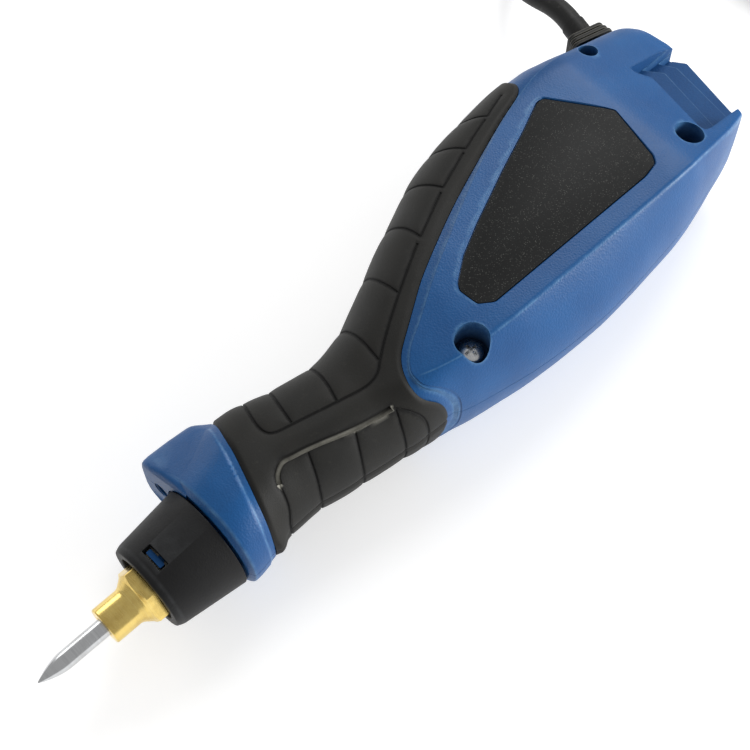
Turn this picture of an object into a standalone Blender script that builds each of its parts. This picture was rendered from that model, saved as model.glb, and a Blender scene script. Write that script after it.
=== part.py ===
"""Electric engraving pen with a vibrating armature, a work light and a mains lead.

Lengths are metres. The pen is drawn in its own frame and then carried by one empty: x runs back
from the stylus tip along the nose axis, y runs toward the underside (the rubber strip, the work
light and the cord), z runs toward the right shell. The empty lays the pen on its left side panel.
"""

import math

import bmesh
import bpy
from mathutils import Matrix, Vector

# Clearances
GAP = 0.0003  # between pieces that touch on the real tool
RUNNING_GAP = 0.0003  # round a piece that slides or turns
OVERRUN = 0.002  # how far a cutter passes the face that it cuts
JOIN = 0.0004  # how far a boss or rib sinks into the wall that carries it

# Stylus and collet
STYLUS_DIAMETER = 0.0040
STYLUS_POINT_LENGTH = 0.0070
STYLUS_POINT_RADIUS = 0.0002
STYLUS_LENGTH = 0.0430
STYLUS_REACH = 0.0165  # tip to the front face of the collet nut
NUT_NECK_DIAMETER = 0.0084
NUT_NECK_LENGTH = 0.0064
NUT_TAPER_LENGTH = 0.0020
NUT_FLANGE_LENGTH = 0.0036
NUT_ACROSS_CORNERS = 0.0136
NUT_WALL = 0.0008
NUT_FRONT_WALL = 0.0014
COLLET_LENGTH = 0.0055
COLLET_WALL = 0.0007
COLLET_SLIT = 0.0006

# Plunger, armature and return spring
PLUNGER_DIAMETER = 0.0080
PLUNGER_SHOULDER_DIAMETER = 0.0130
PLUNGER_SHOULDER_LENGTH = 0.0020
PLUNGER_BORE_SPARE = 0.0010  # bore left behind the stylus
STROKE = 0.0018
ARMATURE_THICKNESS = 0.0055
ARMATURE_SHARE = 0.3851  # place of its front face along BODY_LENGTH
ARMATURE_SHORT = 0.0007  # how much narrower it is than the core, each side
ARMATURE_STUD_DIAMETER = 0.0040
SPRING_WIRE = 0.0010
SPRING_MEAN_RADIUS = 0.0054
SPRING_TURNS = 5
SPRING_PITCH = 0.0021

# Nose cone, bush and seal
CONE_FRONT_RADIUS = 0.0094
CONE_REAR_RADIUS = 0.0117
CONE_EDGE = 0.0007
CONE_LENGTH = 0.0160
CONE_SET_BACK = 0.0115  # nut face to cone face
MOUTH_LENGTH = 0.0036
WINDOW_LENGTH = 0.0022
WINDOW_HEIGHT = 0.0038
WINDOW_FROM_FRONT = 0.0068
CATCH_PROUD = 0.0013
SLEEVE_RADIUS = 0.0086
SLEEVE_WALL = 0.0010
SEAL_LENGTH = 0.0020
BUSH_LENGTH = 0.0090
GUIDE_LENGTH = 0.0030
GUIDE_RADIUS = 0.0072
GUIDE_SHARE = 0.2733  # place of its front face along BODY_LENGTH
GUIDE_RIB = 0.0030

# Housing
BODY_LENGTH = 0.1610  # front of the collar to the rear end
BODY_TOP = 0.0195
BODY_UNDER = 0.0381
BODY_HALF_WIDTH = 0.0175
WALL = 0.0022
RUBBER = 0.0018
FRONT_WALL = 0.0022
REAR_WALL = 0.0035

# Section of the housing at each station, in shares: place along BODY_LENGTH, top of BODY_TOP,
# underside of BODY_UNDER, width of BODY_HALF_WIDTH, crease of BODY_TOP (minus is past the axis),
# lower edge of the side panel of BODY_UNDER, and how far the round neck has become the flat body.
STATION_SHARES = (
    (0.000, 0.615, 0.372, 0.714, 0.080, 0.060, 0.00),
    (0.009, 0.646, 0.388, 0.749, 0.080, 0.060, 0.00),
    (0.040, 0.610, 0.430, 0.783, 0.040, 0.080, 0.00),
    (0.082, 0.533, 0.480, 0.788, -0.050, 0.125, 0.00),
    (0.118, 0.518, 0.472, 0.777, -0.103, 0.157, 0.00),
    (0.180, 0.595, 0.402, 0.771, 0.010, 0.100, 0.00),
    (0.248, 0.677, 0.360, 0.771, 0.092, 0.058, 0.00),
    (0.298, 0.733, 0.396, 0.829, 0.231, 0.092, 0.10),
    (0.339, 0.749, 0.467, 0.897, 0.369, 0.131, 0.35),
    (0.379, 0.815, 0.546, 0.943, 0.497, 0.210, 0.70),
    (0.422, 0.882, 0.640, 0.983, 0.590, 0.276, 1.00),
    (0.472, 0.949, 0.735, 1.000, 0.615, 0.367, 1.00),
    (0.534, 0.990, 0.855, 1.000, 0.631, 0.472, 1.00),
    (0.590, 1.000, 0.915, 1.000, 0.641, 0.540, 1.00),
    (0.660, 0.965, 0.957, 1.000, 0.646, 0.590, 1.00),
    (0.720, 0.913, 0.984, 1.000, 0.646, 0.615, 1.00),
    (0.764, 0.872, 1.000, 1.000, 0.646, 0.630, 1.00),
    (0.795, 0.820, 0.982, 0.985, 0.640, 0.630, 1.00),
    (0.832, 0.744, 0.955, 0.900, 0.600, 0.630, 1.00),
    (0.870, 0.650, 0.921, 0.780, 0.555, 0.620, 1.00),
    (0.910, 0.540, 0.880, 0.660, 0.500, 0.610, 1.00),
    (0.945, 0.435, 0.840, 0.545, 0.425, 0.600, 1.00),
    (0.972, 0.345, 0.790, 0.400, 0.335, 0.570, 1.00),
    (0.991, 0.295, 0.715, 0.240, 0.285, 0.530, 1.00),
    (1.000, 0.255, 0.640, 0.110, 0.245, 0.500, 1.00),
)
ARCH_POINTS = 5
SIDE_POINTS = 2
ROUND_POINTS = 7
ROUND_POWER = 2.3

# Rubber zone seen from the side, in shares of BODY_LENGTH and of BODY_TOP or BODY_UNDER
RUBBER_EDGE_SHARES = (
    (0.075, -1.35), (0.090, 0.0), (0.108, 1.16), (0.800, 1.16), (0.795, 1.04), (0.783, 0.905),
    (0.762, 0.830), (0.720, 0.748), (0.550, 0.472), (0.404, 0.173), (0.382, 0.150), (0.354, 0.084),
    (0.326, -0.051), (0.307, -0.256), (0.297, -0.462), (0.298, -0.641), (0.314, -0.759),
    (0.339, -0.790), (0.351, -1.35),
)

# Grooves in the rubber, as lines seen from the side in shares like those of its edge
GROOVE_WIDTH = 0.0012
LONG_GROOVE_DEPTH = 0.0009
CROSS_GROOVE_DEPTH = 0.0008
LONG_GROOVE_SHARES = (
    ((0.148, 0.499), (0.137, 0.344), (0.125, 0.202), (0.126, 0.131), (0.136, 0.092), (0.155, 0.076),
     (0.217, -0.015), (0.257, -0.087), (0.280, -0.051), (0.301, 0.037), (0.384, 0.265), (0.453, 0.420),
     (0.533, 0.570), (0.599, 0.680), (0.656, 0.759), (0.702, 0.814), (0.758, 0.871)),
    ((0.099, -0.846), (0.099, -0.436), (0.104, -0.236), (0.116, -0.149), (0.143, -0.144),
     (0.212, -0.359), (0.265, -0.446), (0.277, -0.533), (0.295, -0.949)),
)
CROSS_GROOVE_SHARES = (
    ((0.155, 0.063), (0.172, 0.312), (0.184, 0.472)),
    ((0.216, -0.051), (0.235, 0.294), (0.248, 0.525)),
    ((0.294, -0.010), (0.301, 0.362), (0.304, 0.630)),
    ((0.385, 0.247), (0.379, 0.512), (0.373, 0.787)),
    ((0.467, 0.420), (0.453, 0.672), (0.442, 0.892)),
    ((0.545, 0.577), (0.532, 0.777), (0.520, 0.945)),
    ((0.612, 0.688), (0.599, 0.861), (0.588, 1.024)),
    ((0.675, 0.761), (0.671, 0.898), (0.668, 1.050)),
    ((0.142, -0.113), (0.127, -0.523), (0.115, -0.872)),
    ((0.212, -0.328), (0.196, -0.636), (0.183, -0.974)),
)

# Work light housing under the collar
LIGHT_LENGTH = 0.0145
LIGHT_HALF_WIDTH = 0.0062
LIGHT_REACH = 0.0216  # axis to its lowest face
LIGHT_EDGE = 0.0018
LIGHT_PLACE = 0.0005  # behind the front of the collar
LED_DIAMETER = 0.0030
LED_RIM_DIAMETER = 0.0038
LED_LENGTH = 0.0052
LED_DROP = 0.0169  # axis of the nose to the axis of the lamp
LED_SET_BACK = 0.0006
LED_RIM_LENGTH = 0.0010
LIGHT_ROOT = 0.0118  # axis to where the block meets the collar

# Case screws
SCREW_SHARES = ((0.388, -0.565), (0.851, -0.256), (0.856, 0.682))  # places seen from the side
SCREW_MOUTH_RADIUS = 0.0039
SCREW_HEAD_RADIUS = 0.0028
SCREW_HEAD_LENGTH = 0.0020
SCREW_SHANK_RADIUS = 0.0014
SCREW_SHANK_LENGTH = 0.0110
SCREW_SEAT_SHARES = (0.46, 0.30, 0.30)  # height of the seat, of BODY_HALF_WIDTH
SCREW_SLOT_WIDTH = 0.0007
SCREW_SLOT_LENGTH = 0.0030
SCREW_SLOT_DEPTH = 0.0010
BOSS_WALL = 0.0012
PILOT_BOSS_RADIUS = 0.0036
PILOT_SPARE = 0.0010

# Notch in the rear end: outline in shares, then three inner steps that stand further back
NOTCH_SHARES = (
    (0.895, 0.478), (0.905, 0.346), (0.889, -0.154), (0.894, -0.282), (0.960, -0.330),
    (1.080, -0.390), (1.080, 0.440), (0.965, 0.425),
)
NOTCH_STEP_SHARES = ((0.46, 0.000), (0.28, 0.023), (0.10, 0.057))  # half width, way back
NOTCH_CENTRE_SHARE = 0.084

# Rating plate on the right panel
PLATE_SHARES = (
    (0.732, 0.564), (0.783, 0.286), (0.790, 0.236), (0.771, -0.246), (0.764, -0.333),
    (0.739, -0.374), (0.456, -0.359), (0.438, -0.251), (0.435, -0.015), (0.439, 0.029),
    (0.707, 0.585),
)
PLATE_THICKNESS = 0.0005
PLATE_RECESS = 0.0009
PLATE_EDGE = 0.0003

# Stroke dial and its stop slide, on the left
DIAL_SHARES = (0.510, 0.050)
DIAL_RADIUS = 0.0080
DIAL_THICKNESS = 0.0024
DIAL_SET_IN = 0.0005
DIAL_HUB_RADIUS = 0.0030
DIAL_TEETH = 24
DIAL_TOOTH_DEPTH = 0.0005
DIAL_PIN_RADIUS = 0.0009
DIAL_PIN_OFFSET = 0.0010
DIAL_RANGE = math.radians(100)
DIAL_MARK_WIDTH = 0.0012
DIAL_MARK_LENGTH = 0.0060
DIAL_MARK_DEPTH = 0.0008
SLIDE_THICKNESS = 0.0009
SLIDE_ROOM = 0.0018  # wall to the slide
SLIDE_HALF_HEIGHT = 0.0045
SLIDE_TAB_CLEAR = 0.0005  # plunger to the end of the tab
SLIDE_PAST_DIAL = 0.0040
RAIL_WIDTH = 0.0015
RAIL_SHARES = (0.395, 0.480)  # ends of the slide's rails, of BODY_LENGTH

# Rocker switch on the left
SWITCH_SHARES = (0.640, 0.420)
SWITCH_LENGTH = 0.0150
SWITCH_WIDTH = 0.0090
SWITCH_DEPTH = 0.0085
SWITCH_WALL = 0.0010
SWITCH_FLOOR = 0.0012
SWITCH_SET_IN = 0.0004
ROCKER_HALF_LENGTH = 0.0059
ROCKER_PIVOT_DEPTH = 0.0030
ROCKER_END_RISE = 0.0013
ROCKER_DIP = 0.0005
ROCKER_BACK = 0.0022
ROCKER_BACK_SHARE = 0.76
ROCKER_TILT = math.radians(9)

# Laminated core, bobbin and winding
CORE_GAP = 0.0026  # armature to pole faces at rest
CORE_REAR_SHARE = 0.6404  # place of its rear face along BODY_LENGTH
CORE_TOP = 0.0050
CORE_UNDER = 0.0140
LEG_HEIGHT = 0.0060
LAMINATION_COUNT = 6
LAMINATION_GROOVE = 0.0003
BOBBIN_TO_YOKE = 0.0055
BOBBIN_FLANGE = 0.0010
BOBBIN_WALL = 0.0006
BOBBIN_PLACE = 0.0015  # behind the pole faces
WINDING_DEPTH = 0.0018
RIB_THICKNESS = 0.0020
RIB_HALF_HEIGHT = 0.0060
RIB_FROM_REAR = 0.0010
BOARD_THICKNESS = 0.0012
BOARD_HALF_HEIGHT = 0.0080
BOARD_HALF_DEPTH = 0.0068
TERMINAL_SHARES = (0.755, 0.290)
TERMINAL_LENGTH = 0.0100
TERMINAL_HEIGHT = 0.0080
TERMINAL_DEPTH = 0.0080
TERMINAL_SEAT = 0.0092  # parting plane to the face that it stands on
TERMINAL_SCREW_RADIUS = 0.0013
TERMINAL_SCREW_DEPTH = 0.0030

# Cord gland, strain relief and inner clamp
CORD_DIAMETER = 0.0055
EXIT_SHARE = 0.919
EXIT_LEAN = math.radians(14)  # the way out leans back from square to the axis
RELIEF_RING_COUNT = 3
RELIEF_RING_HALF_LENGTH = 0.0054
RELIEF_RING_HALF_WIDTH = 0.0044
RELIEF_RING_THICKNESS = 0.0013
RELIEF_RING_GROOVE = 0.0008
RELIEF_RING_TAPER = 0.0004
RELIEF_CORE_RADIUS = 0.0036
RELIEF_INSIDE = 0.0135
RELIEF_POINTS = 16
RELIEF_POWER = 3.0
GLAND_DEPTH = 0.0165
LEAD_CHANNEL_RADIUS = 0.0030
LEAD_CHANNEL_LENGTH = 0.0120
RELIEF_OUTSIDE = 0.0010  # underside surface to the first ring

# Cord: free stretch from the gland to the coil, as (x, y, z) on the pen's own frame
CORD_ROUTE = (
    (0.19371, 0.03997, 0.00000), (0.19485, 0.04480, -0.00020), (0.19540, 0.04940, -0.00095),
    (0.19585, 0.05599, -0.00295), (0.19765, 0.06172, -0.00550), (0.20088, 0.06678, -0.00815),
    (0.20531, 0.07084, -0.01065), (0.21063, 0.07361, -0.01270), (0.21650, 0.07491, -0.01400),
    (0.22325, 0.07500, -0.01455), (0.23000, 0.07491, -0.01470), (0.23587, 0.07361, -0.01470),
    (0.24119, 0.07084, -0.01470), (0.24562, 0.06678, -0.01465), (0.24885, 0.06172, -0.01455),
    (0.25065, 0.05599, -0.01445), (0.25100, 0.05000, -0.01430), (0.25100, 0.04350, -0.01410),
    (0.25100, 0.03700, -0.01392), (0.25100, 0.03150, -0.01380), (0.25100, 0.02780, -0.01375),
)
TAIL_ROUTE = (
    (0.25100, 0.01620, -0.00745), (0.25120, 0.01150, -0.00700), (0.25220, 0.00660, -0.00510),
    (0.25420, 0.00190, -0.00260), (0.25710, -0.00220, -0.00030), (0.26070, -0.00540, 0.00140),
    (0.26490, -0.00760, 0.00220), (0.27070, -0.00840, 0.00230),
)
CORD_POINT_EVERY = 0.0040
CORD_ROUND_POINTS = 2
COIL_ROUND_POINTS = 1

# Coil of the rest of the lead
COIL_CENTRE = (0.2920, 0.0220)
COIL_LOOPS_PER_LAYER = 3.5
COIL_OUTER_RADIUS = 0.0410
COIL_PITCH = 0.0062
COIL_LAYER = 0.0063
COIL_POINTS_PER_LOOP = 24
COIL_LIFT = 0.0010  # room for the tie under the bottom turns
COIL_CLIMB_LOOPS = 0.5
TIE_LOOP = 0.75  # where round the coil the tie sits, in loops from its start
TIE_WIDTH = 0.0080
TIE_THICKNESS = 0.0005
TIE_ROOM = 0.0008
TIE_HEADROOM = 0.00025

# Plug
PLUG_LENGTH = 0.0350
PLUG_HALF_WIDTH = 0.0170
PLUG_HALF_HEIGHT = 0.0068
# Sections of the plug: place along it, then width and height
PLUG_SECTION_SHARES = (
    (0.0, 0.28, 0.66), (0.22, 0.45, 0.86), (0.70, 1.0, 1.0), (0.94, 1.0, 1.0), (1.0, 0.95, 0.90),
)
PLUG_FLAT_SHARE = 0.72
PLUG_NECK_RADIUS = 0.0044
PLUG_NECK_LENGTH = 0.0140
PLUG_NECK_RIB_COUNT = 4
PLUG_NECK_RIB_DEPTH = 0.0007
PLUG_PIN_RADIUS = 0.0020
PLUG_PIN_LENGTH = 0.0190
PLUG_PIN_SEAT = 0.0060
PLUG_PIN_SPACING = 0.0190
PLUG_PIN_TIP = 0.0008

ROUND_SEGMENTS = 32
SMALL_SEGMENTS = 20
SMOOTH_ANGLE = math.radians(32)

# Places along the axis that follow from the sizes above
NUT_LENGTH = NUT_NECK_LENGTH + NUT_TAPER_LENGTH + NUT_FLANGE_LENGTH
NUT_REAR = STYLUS_REACH + NUT_LENGTH
CONE_FRONT = STYLUS_REACH + CONE_SET_BACK
COLLAR_FRONT = CONE_FRONT + CONE_LENGTH
TOTAL_LENGTH = COLLAR_FRONT + BODY_LENGTH
MOUTH_REAR = CONE_FRONT + MOUTH_LENGTH
SEAL_FRONT = MOUTH_REAR + GAP
SLEEVE_FRONT = SEAL_FRONT + SEAL_LENGTH + GAP
BUSH_FRONT = SLEEVE_FRONT
SLEEVE_BORE = SLEEVE_RADIUS - SLEEVE_WALL
PLUNGER_RADIUS = PLUNGER_DIAMETER / 2
NUT_BORE = NUT_NECK_DIAMETER / 2 - NUT_WALL
PLUNGER_FRONT = STYLUS_REACH + NUT_FRONT_WALL + GAP + COLLET_LENGTH + GAP
GUIDE_PLACE = COLLAR_FRONT + GUIDE_SHARE * BODY_LENGTH
ARMATURE_FRONT = COLLAR_FRONT + ARMATURE_SHARE * BODY_LENGTH
ARMATURE_REAR = ARMATURE_FRONT + ARMATURE_THICKNESS
CORE_FRONT = ARMATURE_REAR + CORE_GAP
CORE_REAR = COLLAR_FRONT + CORE_REAR_SHARE * BODY_LENGTH
BOBBIN_FRONT = CORE_FRONT + BOBBIN_PLACE
BOBBIN_REAR = CORE_REAR - LEG_HEIGHT - BOBBIN_TO_YOKE
LEG_MIDDLE = LEG_HEIGHT / 2 - CORE_TOP
SHOULDER_REAR = GUIDE_PLACE - STROKE - GAP - SPRING_TURNS * SPRING_PITCH - 2 * SPRING_WIRE - GAP
SHOULDER_FRONT = SHOULDER_REAR - PLUNGER_SHOULDER_LENGTH
CORD_RADIUS = CORD_DIAMETER / 2
FLOOR = -BODY_HALF_WIDTH

# Layers from the housing's side panel in to the core
CAVITY_INSET = RUBBER + GAP + WALL
SLIDE_OUTER = BODY_HALF_WIDTH - CAVITY_INSET - SLIDE_ROOM
SLIDE_INNER = SLIDE_OUTER - SLIDE_THICKNESS
WINDING_BUILD = GAP + BOBBIN_WALL + GAP + WINDING_DEPTH
CORE_HALF_DEPTH = SLIDE_INNER - GAP - WINDING_BUILD
ARMATURE_HALF_DEPTH = CORE_HALF_DEPTH - ARMATURE_SHORT
CAVITY_SHARES = (FRONT_WALL / BODY_LENGTH, NOTCH_SHARES[2][0] - REAR_WALL / BODY_LENGTH)

FRAME_OFFSET = Vector((-TOTAL_LENGTH / 2, -(BODY_UNDER - BODY_TOP) / 2, BODY_HALF_WIDTH))


def side_place(shares):
    """The (x, y) of a place on the side view, given as shares of the housing."""
    along, height = shares
    reach = BODY_UNDER if height > 0 else BODY_TOP
    return COLLAR_FRONT + along * BODY_LENGTH, height * reach


def row_at(along):
    """The row of STATION_SHARES at a place along the housing, between its neighbours."""
    for before, after in zip(STATION_SHARES, STATION_SHARES[1:]):
        if along <= after[0]:
            break
    part = (along - before[0]) / (after[0] - before[0])
    return tuple(b + (a - b) * part for b, a in zip(before, after))


def half_section(row, inset=0.0, side=1, parting=GAP / 2):
    """One half of the housing's section, from its top to its underside, inset from the surface."""
    along, top, under, width, crease, edge, flat = row
    x = COLLAR_FRONT + along * BODY_LENGTH
    y_top = inset - top * BODY_TOP
    y_under = under * BODY_UNDER - inset
    half = width * BODY_HALF_WIDTH - inset
    y_crease = inset / 4 - crease * BODY_TOP
    y_edge = edge * BODY_UNDER - inset / 4
    power = 2 / (2 + (ROUND_POWER - 2) * flat)
    points = []
    for step in range(ARCH_POINTS):
        share = step / ARCH_POINTS
        turn = share * math.pi / 2
        round_z, round_y = half * math.sin(turn), y_crease - (y_crease - y_top) * math.cos(turn)
        arch_z, arch_y = half * share, y_top + (y_crease - y_top) * share**2
        points.append((round_y + (arch_y - round_y) * flat, round_z + (arch_z - round_z) * flat))
    for step in range(SIDE_POINTS):
        points.append((y_crease + (y_edge - y_crease) * step / SIDE_POINTS, half))
    for step in range(ROUND_POINTS + 1):
        turn = step / ROUND_POINTS * math.pi / 2
        across = max(math.cos(turn), 0.0) ** power
        points.append((y_edge + (y_under - y_edge) * math.sin(turn) ** power, half * across))
    points[0] = (points[0][0], parting)
    points[-1] = (points[-1][0], parting)
    return [Vector((x, y, side * z)) for y, z in points]


def new_object(name, bm):
    """An object from a bmesh, with its faces turned outward."""
    bmesh.ops.recalc_face_normals(bm, faces=bm.faces)
    mesh = bpy.data.meshes.new(name)
    bm.to_mesh(mesh)
    bm.free()
    obj = bpy.data.objects.new(name, mesh)
    bpy.context.scene.collection.objects.link(obj)
    return obj


def loft(name, rings):
    """A closed body through rings of as many points each."""
    bm = bmesh.new()
    loops = [[bm.verts.new(point) for point in ring] for ring in rings]
    for first, second in zip(loops, loops[1:]):
        for here in range(len(first)):
            there = (here + 1) % len(first)
            bm.faces.new((first[here], first[there], second[there], second[here]))
    bm.faces.new(loops[0])
    bm.faces.new(loops[-1])
    return new_object(name, bm)


def turned(name, profile, segments=ROUND_SEGMENTS, centre=(0.0, 0.0), closed=False):
    """A body turned about a line along x, from (x, radius) points."""
    bm = bmesh.new()
    rings = []
    for along, radius in profile:
        ring = []
        for step in range(segments if radius else 1):
            turn = 2 * math.pi * step / segments
            y, z = centre[0] + radius * math.cos(turn), centre[1] + radius * math.sin(turn)
            ring.append(bm.verts.new((along, y, z)))
        rings.append(ring)
    pairs = list(zip(rings, rings[1:]))
    if closed:
        pairs.append((rings[-1], rings[0]))
    for first, second in pairs:
        for here in range(segments):
            there = here + 1
            corners = (
                first[here % len(first)], first[there % len(first)],
                second[there % len(second)], second[here % len(second)],
            )
            bm.faces.new(list(dict.fromkeys(corners)))
    return new_object(name, bm)


def tube_profile(front, rear, outer, inner):
    """The closed profile of a plain bush, for turned."""
    return [(front, inner), (front, outer), (rear, outer), (rear, inner)]


def prism(name, outline, low, high):
    """An outline of (x, y) points carried from z = low to z = high."""
    return loft(name, [[Vector((x, y, z)) for x, y in outline] for z in (low, high)])


def block(name, lowest, highest):
    """A box between two corners."""
    (x0, y0, z0), (x1, y1, z1) = lowest, highest
    return prism(name, [(x0, y0), (x1, y0), (x1, y1), (x0, y1)], min(z0, z1), max(z0, z1))


def peg(name, centre, radius, low, high, segments=SMALL_SEGMENTS):
    """A round peg along z."""
    x, y = centre
    turns = [2 * math.pi * step / segments for step in range(segments)]
    outline = [(x + radius * math.cos(turn), y + radius * math.sin(turn)) for turn in turns]
    return prism(name, outline, min(low, high), max(low, high))


def grown(outline, by):
    """The outline moved outward by a distance, corner by corner."""
    area = sum(x0 * y1 - x1 * y0 for (x0, y0), (x1, y1) in zip(outline, outline[1:] + outline[:1]))
    out = []
    for index, here in enumerate(outline):
        before, after = outline[index - 1], outline[(index + 1) % len(outline)]
        along = [Vector(here) - Vector(before), Vector(after) - Vector(here)]
        normals = [Vector((step.y, -step.x)).normalized() * (1 if area > 0 else -1) for step in along]
        middle = (normals[0] + normals[1]).normalized()
        out.append(tuple(Vector(here) + middle * by / max(middle.dot(normals[0]), 0.5)))
    return out


def ribbon(line, width):
    """The outline of a band of this width along a line of (x, y) points."""
    points = [Vector(place) for place in line]
    left, right = [], []
    for index, here in enumerate(points):
        steps = [b - a for a, b in zip(points[max(index - 1, 0):index + 1], points[max(index, 1):index + 2])]
        normals = [Vector((-step.y, step.x)).normalized() for step in steps if step.length]
        middle = sum(normals, Vector((0.0, 0.0))).normalized()
        reach = middle * width / 2 / max(middle.dot(normals[0]), 0.5)
        left.append(tuple(here + reach))
        right.append(tuple(here - reach))
    return left + right[::-1]


def combine(target, tool, operation):
    """Cut, join or keep the common part, and remove the tool."""
    modifier = target.modifiers.new(operation, "BOOLEAN")
    modifier.operation = operation
    modifier.object = tool
    graph = bpy.context.evaluated_depsgraph_get()
    mesh = bpy.data.meshes.new_from_object(target.evaluated_get(graph))
    target.modifiers.clear()
    target.data = mesh
    bpy.data.objects.remove(tool)
    return target


def cut(target, tool):
    return combine(target, tool, "DIFFERENCE")


def join(target, tool):
    return combine(target, tool, "UNION")


def keep(target, tool):
    return combine(target, tool, "INTERSECT")


def material(name, colour, roughness, metallic=0.0):
    made = bpy.data.materials.new(name)
    made.use_nodes = True
    shader = made.node_tree.nodes["Principled BSDF"]
    shader.inputs["Base Color"].default_value = (*colour, 1.0)
    shader.inputs["Roughness"].default_value = roughness
    shader.inputs["Metallic"].default_value = metallic
    return made


def finish(obj, finish_material, pen, origin=(0.0, 0.0, 0.0)):
    """Give a piece its material, its origin and its place on the pen."""
    obj.data.materials.clear()
    obj.data.materials.append(finish_material)
    if obj.type == "MESH":
        obj.data.transform(Matrix.Translation(-Vector(origin)))
        obj.data.shade_smooth()
        obj.data.set_sharp_from_angle(angle=SMOOTH_ANGLE)
        obj.location = Vector(origin)
    obj.parent = pen
    return obj


def housing(name, side, inset=0.0, parting=GAP / 2, shares=(0.0, 1.0)):
    """Half of the housing as a solid, inset from the outer surface."""
    rows = [row for row in STATION_SHARES if shares[0] < row[0] < shares[1]]
    rows = [row_at(shares[0]), *rows, row_at(shares[1])]
    return loft(name, [half_section(row, inset, side, parting) for row in rows])


def rubber_zone(name, margin):
    outline = grown([side_place(shares) for shares in RUBBER_EDGE_SHARES], margin)
    return prism(name, outline, -BODY_HALF_WIDTH - OVERRUN, BODY_HALF_WIDTH + OVERRUN)


def inner_bulk(name, side, inset):
    """The housing's bulk below a layer of this depth, run past both ends and the parting plane."""
    rows = [row for row in STATION_SHARES if row[3] * BODY_HALF_WIDTH > 2 * inset]
    rings = [half_section(row, inset, side, -OVERRUN) for row in rows]
    rings.insert(0, [point - Vector((OVERRUN, 0, 0)) for point in rings[0]])
    return loft(name, rings)


def half_space(name, side):
    """Everything on the other side of the parting gap, to be cut away."""
    reach = BODY_HALF_WIDTH + BODY_UNDER
    return block(name, (-reach, -reach, -side * reach), (TOTAL_LENGTH + reach, reach, side * GAP / 2))


def light_block(side):
    """Half of the work light's housing under the collar."""
    front = COLLAR_FRONT + LIGHT_PLACE
    rings = []
    for x, drawn_in in ((front, LIGHT_EDGE / 2), (front + LIGHT_EDGE / 2, 0.0), (front + LIGHT_LENGTH, 0.0)):
        wide, deep = LIGHT_HALF_WIDTH - drawn_in, LIGHT_REACH - drawn_in
        section = (
            (LIGHT_ROOT, GAP / 2), (LIGHT_ROOT, wide), (deep - LIGHT_EDGE, wide),
            (deep, wide - LIGHT_EDGE), (deep, GAP / 2),
        )
        rings.append([Vector((x, y, side * z)) for y, z in section])
    return loft("light_block", rings)


def relief_place(across, out, z):
    """A point of the cord exit's own frame, out along the way that the cord leaves."""
    x = EXIT_PLACE[0] + across * math.cos(EXIT_LEAN) + out * math.sin(EXIT_LEAN)
    y = EXIT_PLACE[1] - across * math.sin(EXIT_LEAN) + out * math.cos(EXIT_LEAN)
    return Vector((x, y, z))


def relief_section(out, half_length, half_width, power):
    """A rounded oblong across the cord exit."""
    ring = []
    for step in range(RELIEF_POINTS):
        turn = 2 * math.pi * (step + 0.5) / RELIEF_POINTS
        c, s = math.cos(turn), math.sin(turn)
        across = math.copysign(abs(c) ** (2 / power), c) * half_length
        z = math.copysign(abs(s) ** (2 / power), s) * half_width
        ring.append(relief_place(across, out, z))
    return ring


def gland_bore():
    radius = RELIEF_CORE_RADIUS + GAP
    ends = (-GLAND_DEPTH, RELIEF_OUTSIDE + OVERRUN)
    return loft("gland_bore", [relief_section(out, radius, radius, 2) for out in ends])


def lead_channel():
    """The way of the lead from the gland to the terminals."""
    rear, y, _ = relief_place(0.0, LEAD_CHANNEL_RADIUS - GLAND_DEPTH, 0.0)
    return turned(
        "lead_channel",
        [(rear - LEAD_CHANNEL_LENGTH, 0), (rear - LEAD_CHANNEL_LENGTH, LEAD_CHANNEL_RADIUS),
         (rear, LEAD_CHANNEL_RADIUS), (rear, 0)],
        SMALL_SEGMENTS, (y, 0.0),
    )


def notch_cutters(side):
    """The rear notch: its outline, cut less far in toward the middle in three steps."""
    steps = [*NOTCH_STEP_SHARES, (0.0, NOTCH_CENTRE_SHARE)]
    outer = BODY_HALF_WIDTH + OVERRUN
    for index, (half_share, back_share) in enumerate(steps):
        inner = half_share * BODY_HALF_WIDTH - (OVERRUN if half_share == 0 else 0)
        outline = [side_place((along + back_share, height)) for along, height in NOTCH_SHARES]
        yield prism(f"notch_{index}", outline, *sorted((side * inner, side * outer)))
        outer = inner


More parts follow.
